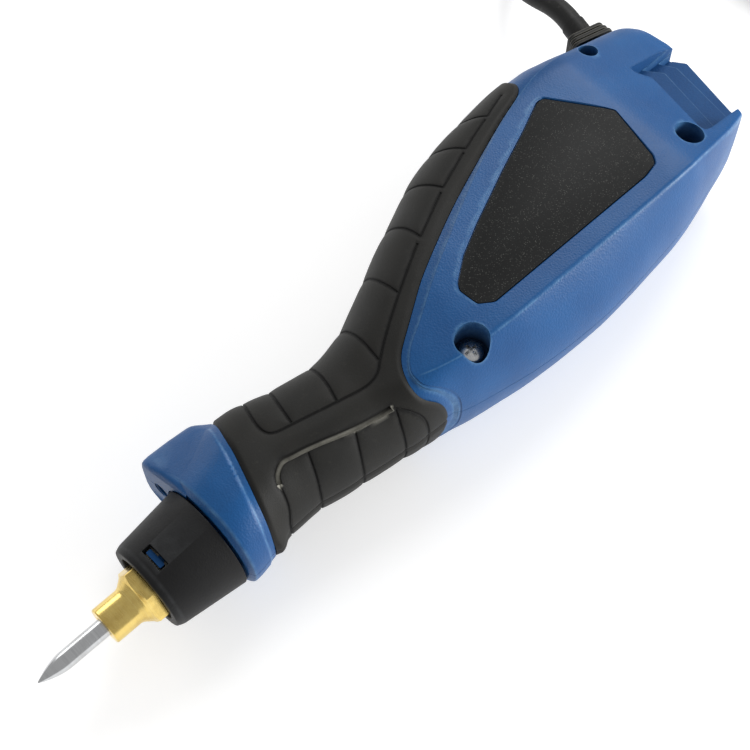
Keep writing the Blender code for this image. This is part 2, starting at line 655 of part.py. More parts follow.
def shell(side):
    """Half of the moulded housing: walls, nose sleeve, work light block, bosses, ribs and cuts."""
    name = "right_shell" if side > 0 else "left_shell"
    body = housing(name, side)
    cut(body, housing("cavity", side, CAVITY_INSET, -OVERRUN, CAVITY_SHARES))

    under_rubber = rubber_zone("under_rubber", GAP)
    cut(under_rubber, inner_bulk("rubber_bed", side, RUBBER + GAP))
    cut(body, under_rubber)

    sleeve = turned(
        "sleeve", tube_profile(SLEEVE_FRONT, COLLAR_FRONT + JOIN, SLEEVE_RADIUS, SLEEVE_BORE - JOIN),
        closed=True,
    )
    catch_x = CONE_FRONT + WINDOW_FROM_FRONT + GAP, CONE_FRONT + WINDOW_FROM_FRONT + WINDOW_LENGTH - GAP
    catch_half = WINDOW_HEIGHT / 2 - GAP
    join(sleeve, block(
        "catch", (catch_x[0], -catch_half, side * (SLEEVE_RADIUS - SLEEVE_WALL)),
        (catch_x[1], catch_half, side * (SLEEVE_RADIUS + CATCH_PROUD)),
    ))
    cut(sleeve, half_space("sleeve_half", side))
    join(body, sleeve)
    join(body, light_block(side))

    for place in SCREW_PLACES:
        radius = SCREW_MOUTH_RADIUS + BOSS_WALL if side > 0 else PILOT_BOSS_RADIUS
        boss = peg("boss", place, radius, side * GAP / 2, side * (BODY_HALF_WIDTH + OVERRUN))
        join(body, keep(boss, housing("boss_limit", side, JOIN)))
    guide_rib = turned(
        "guide_rib",
        tube_profile(GUIDE_PLACE, GUIDE_PLACE + GUIDE_RIB, BODY_HALF_WIDTH, GUIDE_RADIUS + GAP),
        closed=True,
    )
    join(body, keep(guide_rib, housing("rib_limit", side, RUBBER + GAP + JOIN, shares=CAVITY_SHARES)))
    core_middle = (CORE_UNDER - CORE_TOP) / 2
    rib_rear = CORE_REAR - RIB_FROM_REAR
    wall, rib_inner = BODY_HALF_WIDTH - CAVITY_INSET + JOIN, CORE_HALF_DEPTH + GAP
    join(body, block(
        "core_rib", (rib_rear - RIB_THICKNESS, core_middle - RIB_HALF_HEIGHT, side * rib_inner),
        (rib_rear, core_middle + RIB_HALF_HEIGHT, side * wall),
    ))
    if side < 0:
        edge = SLIDE_HALF_HEIGHT + GAP
        ends = [COLLAR_FRONT + share * BODY_LENGTH for share in RAIL_SHARES]
        for low in (DIAL_PLACE[1] - edge - RAIL_WIDTH, DIAL_PLACE[1] + edge):
            join(body, block("rail", (ends[0], low, -SLIDE_INNER), (ends[1], low + RAIL_WIDTH, -wall)))
        x, y = TERMINAL_PLACE
        join(body, block(
            "terminal_rib", (x - TERMINAL_LENGTH / 4, y - TERMINAL_HEIGHT / 4, -TERMINAL_SEAT),
            (x + TERMINAL_LENGTH / 4, y + TERMINAL_HEIGHT / 4, -wall),
        ))

    bore = turned(
        "sleeve_bore",
        [(SLEEVE_FRONT - OVERRUN, 0), (SLEEVE_FRONT - OVERRUN, SLEEVE_BORE),
         (COLLAR_FRONT + FRONT_WALL + OVERRUN, SLEEVE_BORE), (COLLAR_FRONT + FRONT_WALL + OVERRUN, 0)],
    )
    cut(body, bore)
    light_front = COLLAR_FRONT + LIGHT_PLACE
    lamp = (LED_DROP, 0.0)
    cut(body, turned(
        "lamp_bore",
        [(light_front - OVERRUN, 0), (light_front - OVERRUN, LED_RIM_DIAMETER / 2),
         (light_front + LED_SET_BACK + LED_LENGTH + GAP, LED_RIM_DIAMETER / 2),
         (light_front + LED_SET_BACK + LED_LENGTH + GAP, 0)],
        SMALL_SEGMENTS, lamp,
    ))
    for place, seat_share in zip(SCREW_PLACES, SCREW_SEAT_SHARES):
        seat = seat_share * BODY_HALF_WIDTH
        shank = SCREW_SHANK_RADIUS + GAP
        if side > 0:
            cut(body, peg("mouth", place, SCREW_MOUTH_RADIUS, seat, BODY_HALF_WIDTH + OVERRUN))
            cut(body, peg("shank_hole", place, shank, -OVERRUN, seat + OVERRUN))
        else:
            cut(body, peg("pilot", place, shank, seat - SCREW_SHANK_LENGTH - PILOT_SPARE, OVERRUN))
    cut(body, gland_bore())
    cut(body, lead_channel())
    for cutter in notch_cutters(side):
        cut(body, cutter)

    panel = side * (BODY_HALF_WIDTH + OVERRUN)
    if side > 0:
        recess = grown(PLATE_OUTLINE, PLATE_EDGE)
        cut(body, prism("plate_recess", recess, BODY_HALF_WIDTH - PLATE_RECESS, panel))
    else:
        floor = BODY_HALF_WIDTH - DIAL_SET_IN - DIAL_THICKNESS - GAP
        cut(body, peg("dial_recess", DIAL_PLACE, DIAL_RADIUS + GAP, panel, -floor, 2 * DIAL_TEETH))
        cut(body, peg("hub_hole", DIAL_PLACE, DIAL_HUB_RADIUS + GAP, panel, -CORE_HALF_DEPTH))
        x, y = SWITCH_PLACE
        half_length, half_width = SWITCH_LENGTH / 2 + GAP, SWITCH_WIDTH / 2 + GAP
        cut(body, block(
            "switch_opening", (x - half_length, y - half_width, panel),
            (x + half_length, y + half_width, -CORE_HALF_DEPTH),
        ))
    return body


def grip(side):
    """Half of the rubber overmould, wrapped over the neck and along the underside."""
    body = housing("right_grip" if side > 0 else "left_grip", side)
    cut(body, inner_bulk("grip_bed", side, RUBBER))
    keep(body, rubber_zone("grip_zone", 0.0))
    reach = side * (BODY_HALF_WIDTH + OVERRUN)
    for lines, depth in ((LONG_GROOVE_SHARES, LONG_GROOVE_DEPTH), (CROSS_GROOVE_SHARES, CROSS_GROOVE_DEPTH)):
        for line in lines:
            outline = ribbon([side_place(shares) for shares in line], GROOVE_WIDTH)
            groove = prism("groove", outline, *sorted((-side * OVERRUN, reach)))
            cut(groove, inner_bulk("groove_bed", side, depth))
            cut(body, groove)
    return body


def nose_cone():
    front, rear = CONE_FRONT, COLLAR_FRONT - GAP
    mouth = NUT_ACROSS_CORNERS / 2 + 2 * RUNNING_GAP
    counterbore = SLEEVE_RADIUS + GAP
    cone = turned("nose_cone", [
        (front, mouth), (front, CONE_FRONT_RADIUS - CONE_EDGE), (front + CONE_EDGE, CONE_FRONT_RADIUS),
        (rear, CONE_REAR_RADIUS), (rear, counterbore), (MOUTH_REAR, counterbore), (MOUTH_REAR, mouth),
    ], closed=True)
    window_front = front + WINDOW_FROM_FRONT
    return cut(cone, block(
        "windows", (window_front, -WINDOW_HEIGHT / 2, -CONE_REAR_RADIUS - OVERRUN),
        (window_front + WINDOW_LENGTH, WINDOW_HEIGHT / 2, CONE_REAR_RADIUS + OVERRUN),
    ))


def stylus():
    radius = STYLUS_DIAMETER / 2
    return turned("stylus", [
        (0.0, 0), (STYLUS_POINT_RADIUS / 2, STYLUS_POINT_RADIUS), (STYLUS_POINT_LENGTH, radius),
        (STYLUS_LENGTH, radius), (STYLUS_LENGTH, 0),
    ], SMALL_SEGMENTS)


def collet():
    front = STYLUS_REACH + NUT_FRONT_WALL + GAP
    inner = STYLUS_DIAMETER / 2 + GAP
    sleeve = turned("collet", tube_profile(front, front + COLLET_LENGTH, inner + COLLET_WALL, inner),
                    SMALL_SEGMENTS, closed=True)
    return cut(sleeve, block(
        "collet_slit", (front - OVERRUN, 0.0, -COLLET_SLIT / 2),
        (front + COLLET_LENGTH + OVERRUN, inner + COLLET_WALL + OVERRUN, COLLET_SLIT / 2),
    ))


def collet_nut():
    """Round neck, tapering flange and hexagon, bored for the collet and the plunger's thread."""
    front, radius = STYLUS_REACH, NUT_NECK_DIAMETER / 2
    taper = front + NUT_NECK_LENGTH
    flange = taper + NUT_TAPER_LENGTH
    corner = NUT_ACROSS_CORNERS / 2
    edge = CONE_EDGE
    nut = turned("collet_nut", [
        (front, 0), (front, radius - edge / 2), (front + edge / 2, radius), (taper, radius),
        (flange, corner - edge), (NUT_REAR - edge / 2, corner), (NUT_REAR, corner - edge), (NUT_REAR, 0),
    ])
    hexagon = [
        Vector((0.0, 2 * math.cos(math.pi * side / 3) * corner, 2 * math.sin(math.pi * side / 3) * corner))
        for side in range(6)
    ]
    flats = loft("nut_flats", [
        [Vector((x, point.y / 2, point.z / 2)) for point in hexagon]
        for x in (front - OVERRUN, NUT_REAR + OVERRUN)
    ])
    keep(nut, flats)
    hole = STYLUS_DIAMETER / 2 + GAP
    return cut(nut, turned("nut_bore", [
        (front - OVERRUN, 0), (front - OVERRUN, hole), (front + NUT_FRONT_WALL, hole),
        (front + NUT_FRONT_WALL, NUT_BORE), (NUT_REAR + OVERRUN, NUT_BORE), (NUT_REAR + OVERRUN, 0),
    ], SMALL_SEGMENTS))


def plunger():
    thread, bore = NUT_BORE - GAP, STYLUS_DIAMETER / 2 + GAP
    bore_end = STYLUS_LENGTH + PLUNGER_BORE_SPARE
    shoulder, stud = PLUNGER_SHOULDER_DIAMETER / 2, ARMATURE_STUD_DIAMETER / 2
    return turned("plunger", [
        (bore_end, 0), (bore_end, bore), (PLUNGER_FRONT, bore), (PLUNGER_FRONT, thread),
        (NUT_REAR + GAP, thread), (NUT_REAR + GAP, PLUNGER_RADIUS), (SHOULDER_FRONT, PLUNGER_RADIUS),
        (SHOULDER_FRONT, shoulder), (SHOULDER_REAR, shoulder), (SHOULDER_REAR, PLUNGER_RADIUS),
        (ARMATURE_FRONT - GAP, PLUNGER_RADIUS), (ARMATURE_FRONT - GAP, stud), (ARMATURE_REAR, stud),
        (ARMATURE_REAR, 0),
    ], SMALL_SEGMENTS)


def ring(name, front, length, outer, inner):
    return turned(name, tube_profile(front, front + length, outer, inner), closed=True)


def tube_curve(name, points, radius, roundness):
    """A round tube along points, with its ends closed."""
    data = bpy.data.curves.new(name, "CURVE")
    data.dimensions = "3D"
    data.bevel_depth = radius
    data.bevel_resolution = round(roundness)
    data.use_fill_caps = True
    spline = data.splines.new("POLY")
    spline.points.add(len(points) - 1)
    for point, place in zip(spline.points, points):
        point.co = (*place, 1.0)
    for each in data.splines:
        each.use_smooth = True
    obj = bpy.data.objects.new(name, data)
    bpy.context.scene.collection.objects.link(obj)
    return obj


def return_spring():
    """One helix between the plunger's shoulder and the rear guide, short of it by the stroke."""
    length = SPRING_TURNS * SPRING_PITCH
    start = SHOULDER_REAR + GAP + SPRING_WIRE / 2
    steps = 10 * SPRING_TURNS
    points = []
    for step in range(steps + 1):
        turn = 2 * math.pi * SPRING_TURNS * step / steps
        y, z = SPRING_MEAN_RADIUS * math.cos(turn), SPRING_MEAN_RADIUS * math.sin(turn)
        points.append((start + length * step / steps, y, z))
    return tube_curve("return_spring", points, SPRING_WIRE / 2, COIL_ROUND_POINTS)


def armature():
    body = block("armature", (ARMATURE_FRONT, -CORE_TOP, -ARMATURE_HALF_DEPTH),
                 (ARMATURE_REAR, CORE_UNDER, ARMATURE_HALF_DEPTH))
    radius = ARMATURE_STUD_DIAMETER / 2 + GAP
    return cut(body, turned("stud_hole", [
        (ARMATURE_FRONT - OVERRUN, 0), (ARMATURE_FRONT - OVERRUN, radius),
        (ARMATURE_REAR + OVERRUN, radius), (ARMATURE_REAR + OVERRUN, 0),
    ], SMALL_SEGMENTS))


def core():
    """A U of iron sheets, with the gaps between groups of sheets as grooves round its edges."""
    front, rear = CORE_FRONT, CORE_REAR
    outline = [
        (front, -CORE_TOP), (rear, -CORE_TOP), (rear, CORE_UNDER), (front, CORE_UNDER),
        (front, CORE_UNDER - LEG_HEIGHT), (rear - LEG_HEIGHT, CORE_UNDER - LEG_HEIGHT),
        (rear - LEG_HEIGHT, LEG_HEIGHT - CORE_TOP), (front, LEG_HEIGHT - CORE_TOP),
    ]
    inner = grown(outline, -LAMINATION_GROOVE)
    depth = 2 * CORE_HALF_DEPTH
    rings = []
    for sheet in range(LAMINATION_COUNT):
        low = sheet * depth / LAMINATION_COUNT - CORE_HALF_DEPTH
        high = low + depth / LAMINATION_COUNT
        if sheet:
            rings.append((inner, low))
            low += LAMINATION_GROOVE
            rings.append((inner, low))
        rings += [(outline, low), (outline, high)]
    return loft("core", [[Vector((x, y, z)) for x, y in shape] for shape, z in rings])


def around_leg(name, front, rear, build_out):
    """A box along the wound leg, this much larger than the leg all round."""
    half_height, half_depth = LEG_HEIGHT / 2 + build_out, CORE_HALF_DEPTH + build_out
    return block(name, (front, LEG_MIDDLE - half_height, -half_depth),
                 (rear, LEG_MIDDLE + half_height, half_depth))


def bobbin():
    front, rear = BOBBIN_FRONT, BOBBIN_REAR
    body = around_leg("bobbin", front, rear, GAP + BOBBIN_WALL)
    for start in (front, rear - BOBBIN_FLANGE):
        join(body, around_leg("flange", start, start + BOBBIN_FLANGE, WINDING_BUILD))
    return cut(body, around_leg("leg_room", front - OVERRUN, rear + OVERRUN, GAP))


def winding():
    front, rear = BOBBIN_FRONT + BOBBIN_FLANGE + GAP, BOBBIN_REAR - BOBBIN_FLANGE - GAP
    body = around_leg("winding", front, rear, WINDING_BUILD - GAP)
    bm = bmesh.new()
    bm.from_mesh(body.data)
    along = [edge for edge in bm.edges if abs((edge.verts[0].co - edge.verts[1].co).x) > BOBBIN_FLANGE]
    bmesh.ops.bevel(bm, geom=along, offset=WINDING_DEPTH, segments=3, affect="EDGES", profile=0.5)
    bm.to_mesh(body.data)
    bm.free()
    return cut(body, around_leg("bobbin_room", front - OVERRUN, rear + OVERRUN, 2 * GAP + BOBBIN_WALL))


def circuit_board():
    middle = (CORE_UNDER - CORE_TOP) / 2
    front = CORE_REAR + GAP
    return block("circuit_board", (front, middle - BOARD_HALF_HEIGHT, -BOARD_HALF_DEPTH),
                 (front + BOARD_THICKNESS, middle + BOARD_HALF_HEIGHT, BOARD_HALF_DEPTH))


def terminal_block():
    x, y = TERMINAL_PLACE
    low = GAP - TERMINAL_SEAT
    body = block("terminal_block", (x - TERMINAL_LENGTH / 2, y - TERMINAL_HEIGHT / 2, low),
                 (x + TERMINAL_LENGTH / 2, y + TERMINAL_HEIGHT / 2, low + TERMINAL_DEPTH))
    top = low + TERMINAL_DEPTH
    for offset in (-TERMINAL_LENGTH / 4, TERMINAL_LENGTH / 4):
        deep = top - TERMINAL_SCREW_DEPTH
        cut(body, peg("terminal_hole", (x + offset, y), TERMINAL_SCREW_RADIUS, deep, top + OVERRUN))
    return body


def stroke_dial():
    """A toothed dial with a pointer groove, its hub and the pin that moves the stop slide."""
    outer = DIAL_SET_IN - BODY_HALF_WIDTH
    inner = outer + DIAL_THICKNESS
    outline = []
    for tooth in range(2 * DIAL_TEETH):
        turn = math.pi * tooth / DIAL_TEETH
        radius = DIAL_RADIUS - DIAL_TOOTH_DEPTH * (tooth % 2)
        outline.append((DIAL_PLACE[0] + radius * math.cos(turn), DIAL_PLACE[1] + radius * math.sin(turn)))
    dial = prism("stroke_dial", outline, outer, inner)
    wall = CAVITY_INSET - BODY_HALF_WIDTH
    join(dial, peg("hub", DIAL_PLACE, DIAL_HUB_RADIUS, inner - JOIN, wall))
    join(dial, peg("dial_pin", dial_pin_place(), DIAL_PIN_RADIUS, wall - JOIN, -SLIDE_INNER))
    x, y = DIAL_PLACE
    half, edge = DIAL_MARK_WIDTH / 2, y - DIAL_RADIUS
    return cut(dial, block(
        "pointer", (x - half, edge + DIAL_TOOTH_DEPTH + DIAL_MARK_WIDTH, outer - OVERRUN),
        (x + half, edge + DIAL_MARK_LENGTH, outer + DIAL_MARK_DEPTH),
    ))


def dial_pin_place():
    turn = DIAL_RANGE / 2
    return DIAL_PLACE[0] + DIAL_PIN_OFFSET * math.sin(turn), DIAL_PLACE[1] + DIAL_PIN_OFFSET * math.cos(turn)


def stop_slide():
    """A steel strip whose bent tab stops the armature, moved by the dial's pin in its slot."""
    x, y = DIAL_PLACE
    pin_x, _ = dial_pin_place()
    front = ARMATURE_FRONT - GAP - SLIDE_THICKNESS
    strip = block("stop_slide", (front, y - SLIDE_HALF_HEIGHT, -SLIDE_OUTER),
                  (x + SLIDE_PAST_DIAL, y + SLIDE_HALF_HEIGHT, -SLIDE_INNER))
    join(strip, block("tab", (front, y - SLIDE_HALF_HEIGHT, -SLIDE_OUTER),
                      (front + SLIDE_THICKNESS, y + SLIDE_HALF_HEIGHT, -PLUNGER_RADIUS - SLIDE_TAB_CLEAR)))
    room = DIAL_PIN_RADIUS + GAP
    return cut(strip, block("slot", (pin_x - room, y - room, -SLIDE_OUTER - OVERRUN),
                            (pin_x + room, y + DIAL_PIN_OFFSET + room, OVERRUN - SLIDE_INNER)))


def switch_frame():
    x, y = SWITCH_PLACE
    outer = SWITCH_SET_IN - BODY_HALF_WIDTH
    half_length, half_width = SWITCH_LENGTH / 2, SWITCH_WIDTH / 2
    body = block("switch_frame", (x - half_length, y - half_width, outer),
                 (x + half_length, y + half_width, outer + SWITCH_DEPTH))
    return cut(body, block(
        "switch_pocket", (x - half_length + SWITCH_WALL, y - half_width + SWITCH_WALL, outer - OVERRUN),
        (x + half_length - SWITCH_WALL, y + half_width - SWITCH_WALL, outer + SWITCH_DEPTH - SWITCH_FLOOR),
    ))


def switch_rocker():
    """A dished rocker, tipped to its off side about its pivot."""
    x, y = SWITCH_PLACE
    half_width = SWITCH_WIDTH / 2 - SWITCH_WALL - GAP
    back = ROCKER_HALF_LENGTH * ROCKER_BACK_SHARE
    outline = (
        (-ROCKER_HALF_LENGTH, ROCKER_END_RISE), (-ROCKER_HALF_LENGTH / 2, ROCKER_DIP * 1.4),
        (0.0, ROCKER_DIP), (ROCKER_HALF_LENGTH / 2, ROCKER_DIP * 1.4),
        (ROCKER_HALF_LENGTH, ROCKER_END_RISE), (back, -ROCKER_BACK), (-back, -ROCKER_BACK),
    )
    c, s = math.cos(ROCKER_TILT), math.sin(ROCKER_TILT)
    pivot = ROCKER_PIVOT_DEPTH - BODY_HALF_WIDTH
    rings = []
    for edge in (y - half_width, y + half_width):
        rings.append([Vector((x + a * c + b * s, edge, pivot + a * s - b * c)) for a, b in outline])
    return loft("switch_rocker", rings)


def work_light():
    """A 3 mm lamp with a round front and a rim, in the block under the collar."""
    radius, rim = LED_DIAMETER / 2, LED_RIM_DIAMETER / 2 - GAP
    front = COLLAR_FRONT + LIGHT_PLACE + LED_SET_BACK
    rear = front + LED_LENGTH
    return turned("work_light", [
        (front, 0), (front + radius / 3, radius * 0.75), (front + radius, radius),
        (rear - LED_RIM_LENGTH, radius), (rear - LED_RIM_LENGTH, rim), (rear, rim), (rear, 0),
    ], SMALL_SEGMENTS, (LED_DROP, 0.0))


def case_screw(index):
    """A pan-head cross-recess screw, head toward the right shell."""
    place = SCREW_PLACES[index]
    seat = SCREW_SEAT_SHARES[index] * BODY_HALF_WIDTH + GAP
    head_top = seat + SCREW_HEAD_LENGTH
    x, y = place
    body = turned(f"case_screw_{index + 1}", [
        (seat - SCREW_SHANK_LENGTH, 0), (seat - SCREW_SHANK_LENGTH, SCREW_SHANK_RADIUS),
        (seat, SCREW_SHANK_RADIUS), (seat, SCREW_HEAD_RADIUS),
        (seat + SCREW_HEAD_LENGTH / 2, SCREW_HEAD_RADIUS),
        (head_top, SCREW_HEAD_RADIUS / 2), (head_top, 0),
    ], SMALL_SEGMENTS)
    body.data.transform(Matrix.Translation((x, y, 0.0)) @ Matrix.Rotation(-math.pi / 2, 4, "Y"))
    half, reach = SCREW_SLOT_WIDTH / 2, SCREW_SLOT_LENGTH / 2
    for a, b in ((reach, half), (half, reach)):
        cut(body, block("slot", (x - a, y - b, head_top - SCREW_SLOT_DEPTH),
                        (x + a, y + b, head_top + OVERRUN)))
    return body


def rating_plate():
    low = BODY_HALF_WIDTH - PLATE_RECESS + GAP
    return prism("rating_plate", PLATE_OUTLINE, low, low + PLATE_THICKNESS)


def strain_relief():
    """A plug in the housing's gland with three oblong rings outside."""
    core_radius = RELIEF_CORE_RADIUS
    sections = [(-RELIEF_INSIDE, core_radius, core_radius, 2), (RELIEF_OUTSIDE, core_radius, core_radius, 2)]
    out = RELIEF_OUTSIDE
    for index in range(RELIEF_RING_COUNT):
        long = RELIEF_RING_HALF_LENGTH - index * RELIEF_RING_TAPER
        wide = RELIEF_RING_HALF_WIDTH - index * RELIEF_RING_TAPER
        if index:
            sections.append((out, core_radius, core_radius, 2))
            out += RELIEF_RING_GROOVE
            sections.append((out, core_radius, core_radius, 2))
        sections.append((out, long, wide, RELIEF_POWER))
        out += RELIEF_RING_THICKNESS
        sections.append((out, long, wide, RELIEF_POWER))
    return loft("strain_relief", [relief_section(*section) for section in sections])


def smooth_route(route):
    """Even points on one smooth curve through the route."""
    points = [Vector(place) for place in route]
    points = [2 * points[0] - points[1], *points, 2 * points[-1] - points[-2]]
    fine = []
    for before, start, end, after in zip(points, points[1:], points[2:], points[3:]):
        for step in range(8):
            t = step / 8
            fine.append(0.5 * (
                2 * start + (end - before) * t + (2 * before - 5 * start + 4 * end - after) * t**2
                + (3 * start - before - 3 * end + after) * t**3
            ))
    fine.append(points[-2])
    length = sum((b - a).length for a, b in zip(fine, fine[1:]))
    count = round(length / CORD_POINT_EVERY)
    even, walked, target = [fine[0]], 0.0, length / count
    for a, b in zip(fine, fine[1:]):
        step = (b - a).length
        while walked + step >= target and len(even) < count:
            even.append(a + (b - a) * (target - walked) / step)
            target += length / count
        walked += step
    even.append(fine[-1])
    return even, length


def coil_radius(loops):
    """Distance from the coil's centre after this many loops: in on the lower layer, out on the upper."""
    return COIL_OUTER_RADIUS - COIL_PITCH * min(loops, 2 * COIL_LOOPS_PER_LAYER - loops)


def coil_points():
    total = 2 * COIL_LOOPS_PER_LAYER
    low = FLOOR + CORD_RADIUS + COIL_LIFT
    steps = round(total * COIL_POINTS_PER_LOOP)
    points = []
    for step in range(steps + 1):
        loops = total * step / steps
        climb = (loops - COIL_LOOPS_PER_LAYER) / COIL_CLIMB_LOOPS + 0.5
        climb = min(max(climb, 0.0), 1.0)
        angle = math.pi + 2 * math.pi * loops
        radius = coil_radius(loops)
        points.append(Vector((
            COIL_CENTRE[0] + radius * math.cos(angle), COIL_CENTRE[1] + radius * math.sin(angle),
            low + COIL_LAYER * climb * climb * (3 - 2 * climb),
        )))
    run = Vector((0.0, -CORD_DIAMETER, 0.0))
    return [points[0] - run, *points, points[-1] + run]


def least_gap(points):
    """Least distance between the coil's turns, less the cord's diameter."""
    apart = COIL_POINTS_PER_LOOP // 2
    best = min(
        (b - a).length for i, a in enumerate(points) for b in points[i + apart:]
    )
    return best - CORD_DIAMETER


def cord_tie():
    """A flat strap round the coil's turns."""
    count = int(2 * COIL_LOOPS_PER_LAYER - TIE_LOOP) + 1
    radii = [coil_radius(TIE_LOOP + turn) for turn in range(count)]
    x, y = COIL_CENTRE
    low = FLOOR + COIL_LIFT - TIE_HEADROOM
    high = FLOOR + COIL_LIFT + COIL_LAYER + CORD_DIAMETER + TIE_HEADROOM
    near, far = min(radii) - CORD_RADIUS - TIE_ROOM, max(radii) + CORD_RADIUS + TIE_ROOM
    outer = block("cord_tie", (x - TIE_WIDTH / 2, y + near - TIE_THICKNESS, low - TIE_THICKNESS),
                  (x + TIE_WIDTH / 2, y + far + TIE_THICKNESS, high + TIE_THICKNESS))
    return cut(outer, block("tie_room", (x - TIE_WIDTH, y + near, low), (x + TIE_WIDTH, y + far, high)))


def plug_body():
    """A flat two-pin plug with a ribbed neck."""
    x, y, z = PLUG_PLACE
    profile = [(x, 0)]
    rib = PLUG_NECK_LENGTH / (2 * PLUG_NECK_RIB_COUNT)
    for index in range(2 * PLUG_NECK_RIB_COUNT):
        radius = PLUG_NECK_RADIUS - PLUG_NECK_RIB_DEPTH * (index % 2)
        profile += [(x + index * rib, radius), (x + (index + 1) * rib, radius)]
    profile += [(x + PLUG_NECK_LENGTH + OVERRUN, PLUG_NECK_RADIUS), (x + PLUG_NECK_LENGTH + OVERRUN, 0)]
    neck = turned("plug_neck", profile, SMALL_SEGMENTS, (y, z))
    rings = []
    for along, wide, high in PLUG_SECTION_SHARES:
        half_width, half_height = wide * PLUG_HALF_WIDTH, high * PLUG_HALF_HEIGHT
        flat = half_width * PLUG_FLAT_SHARE
        section = [
            (-half_width, -half_height / 3), (-flat, -half_height), (flat, -half_height),
            (half_width, -half_height / 3), (half_width, half_height / 3), (flat, half_height),
            (-flat, half_height), (-half_width, half_height / 3),
        ]
        place = x + PLUG_NECK_LENGTH + along * PLUG_LENGTH
        rings.append([Vector((place, y + a, z + b)) for a, b in section])
    body = join(loft("plug_body", rings), neck)
    front = x + PLUG_NECK_LENGTH + PLUG_LENGTH
    radius = PLUG_PIN_RADIUS + GAP
    for side in (-1, 1):
        cut(body, turned("pin_hole", [
            (front - PLUG_PIN_SEAT - GAP, 0), (front - PLUG_PIN_SEAT - GAP, radius),
            (front + OVERRUN, radius), (front + OVERRUN, 0),
        ], SMALL_SEGMENTS, (y + side * PLUG_PIN_SPACING / 2, z)))
    return body


def plug_pin(side):
    x, y, z = PLUG_PLACE
    front = x + PLUG_NECK_LENGTH + PLUG_LENGTH
    tip = front + PLUG_PIN_LENGTH
    return turned(f"plug_pin_{1 if side < 0 else 2}", [
        (front - PLUG_PIN_SEAT, 0), (front - PLUG_PIN_SEAT, PLUG_PIN_RADIUS),
        (tip - PLUG_PIN_TIP, PLUG_PIN_RADIUS),
        (tip, PLUG_PIN_RADIUS - PLUG_PIN_TIP), (tip, 0),
    ], SMALL_SEGMENTS, (y + side * PLUG_PIN_SPACING / 2, z))


# Places and sizes that several pieces share
SCREW_PLACES = [side_place(shares) for shares in SCREW_SHARES]
PLATE_OUTLINE = [side_place(shares) for shares in PLATE_SHARES]
DIAL_PLACE = side_place(DIAL_SHARES)
SWITCH_PLACE = side_place(SWITCH_SHARES)
TERMINAL_PLACE = side_place(TERMINAL_SHARES)
EXIT_PLACE = (COLLAR_FRONT + EXIT_SHARE * BODY_LENGTH, row_at(EXIT_SHARE)[2] * BODY_UNDER)
PLUG_PLACE = (TAIL_ROUTE[-1][0] + GAP, TAIL_ROUTE[-1][1], TAIL_ROUTE[-1][2])


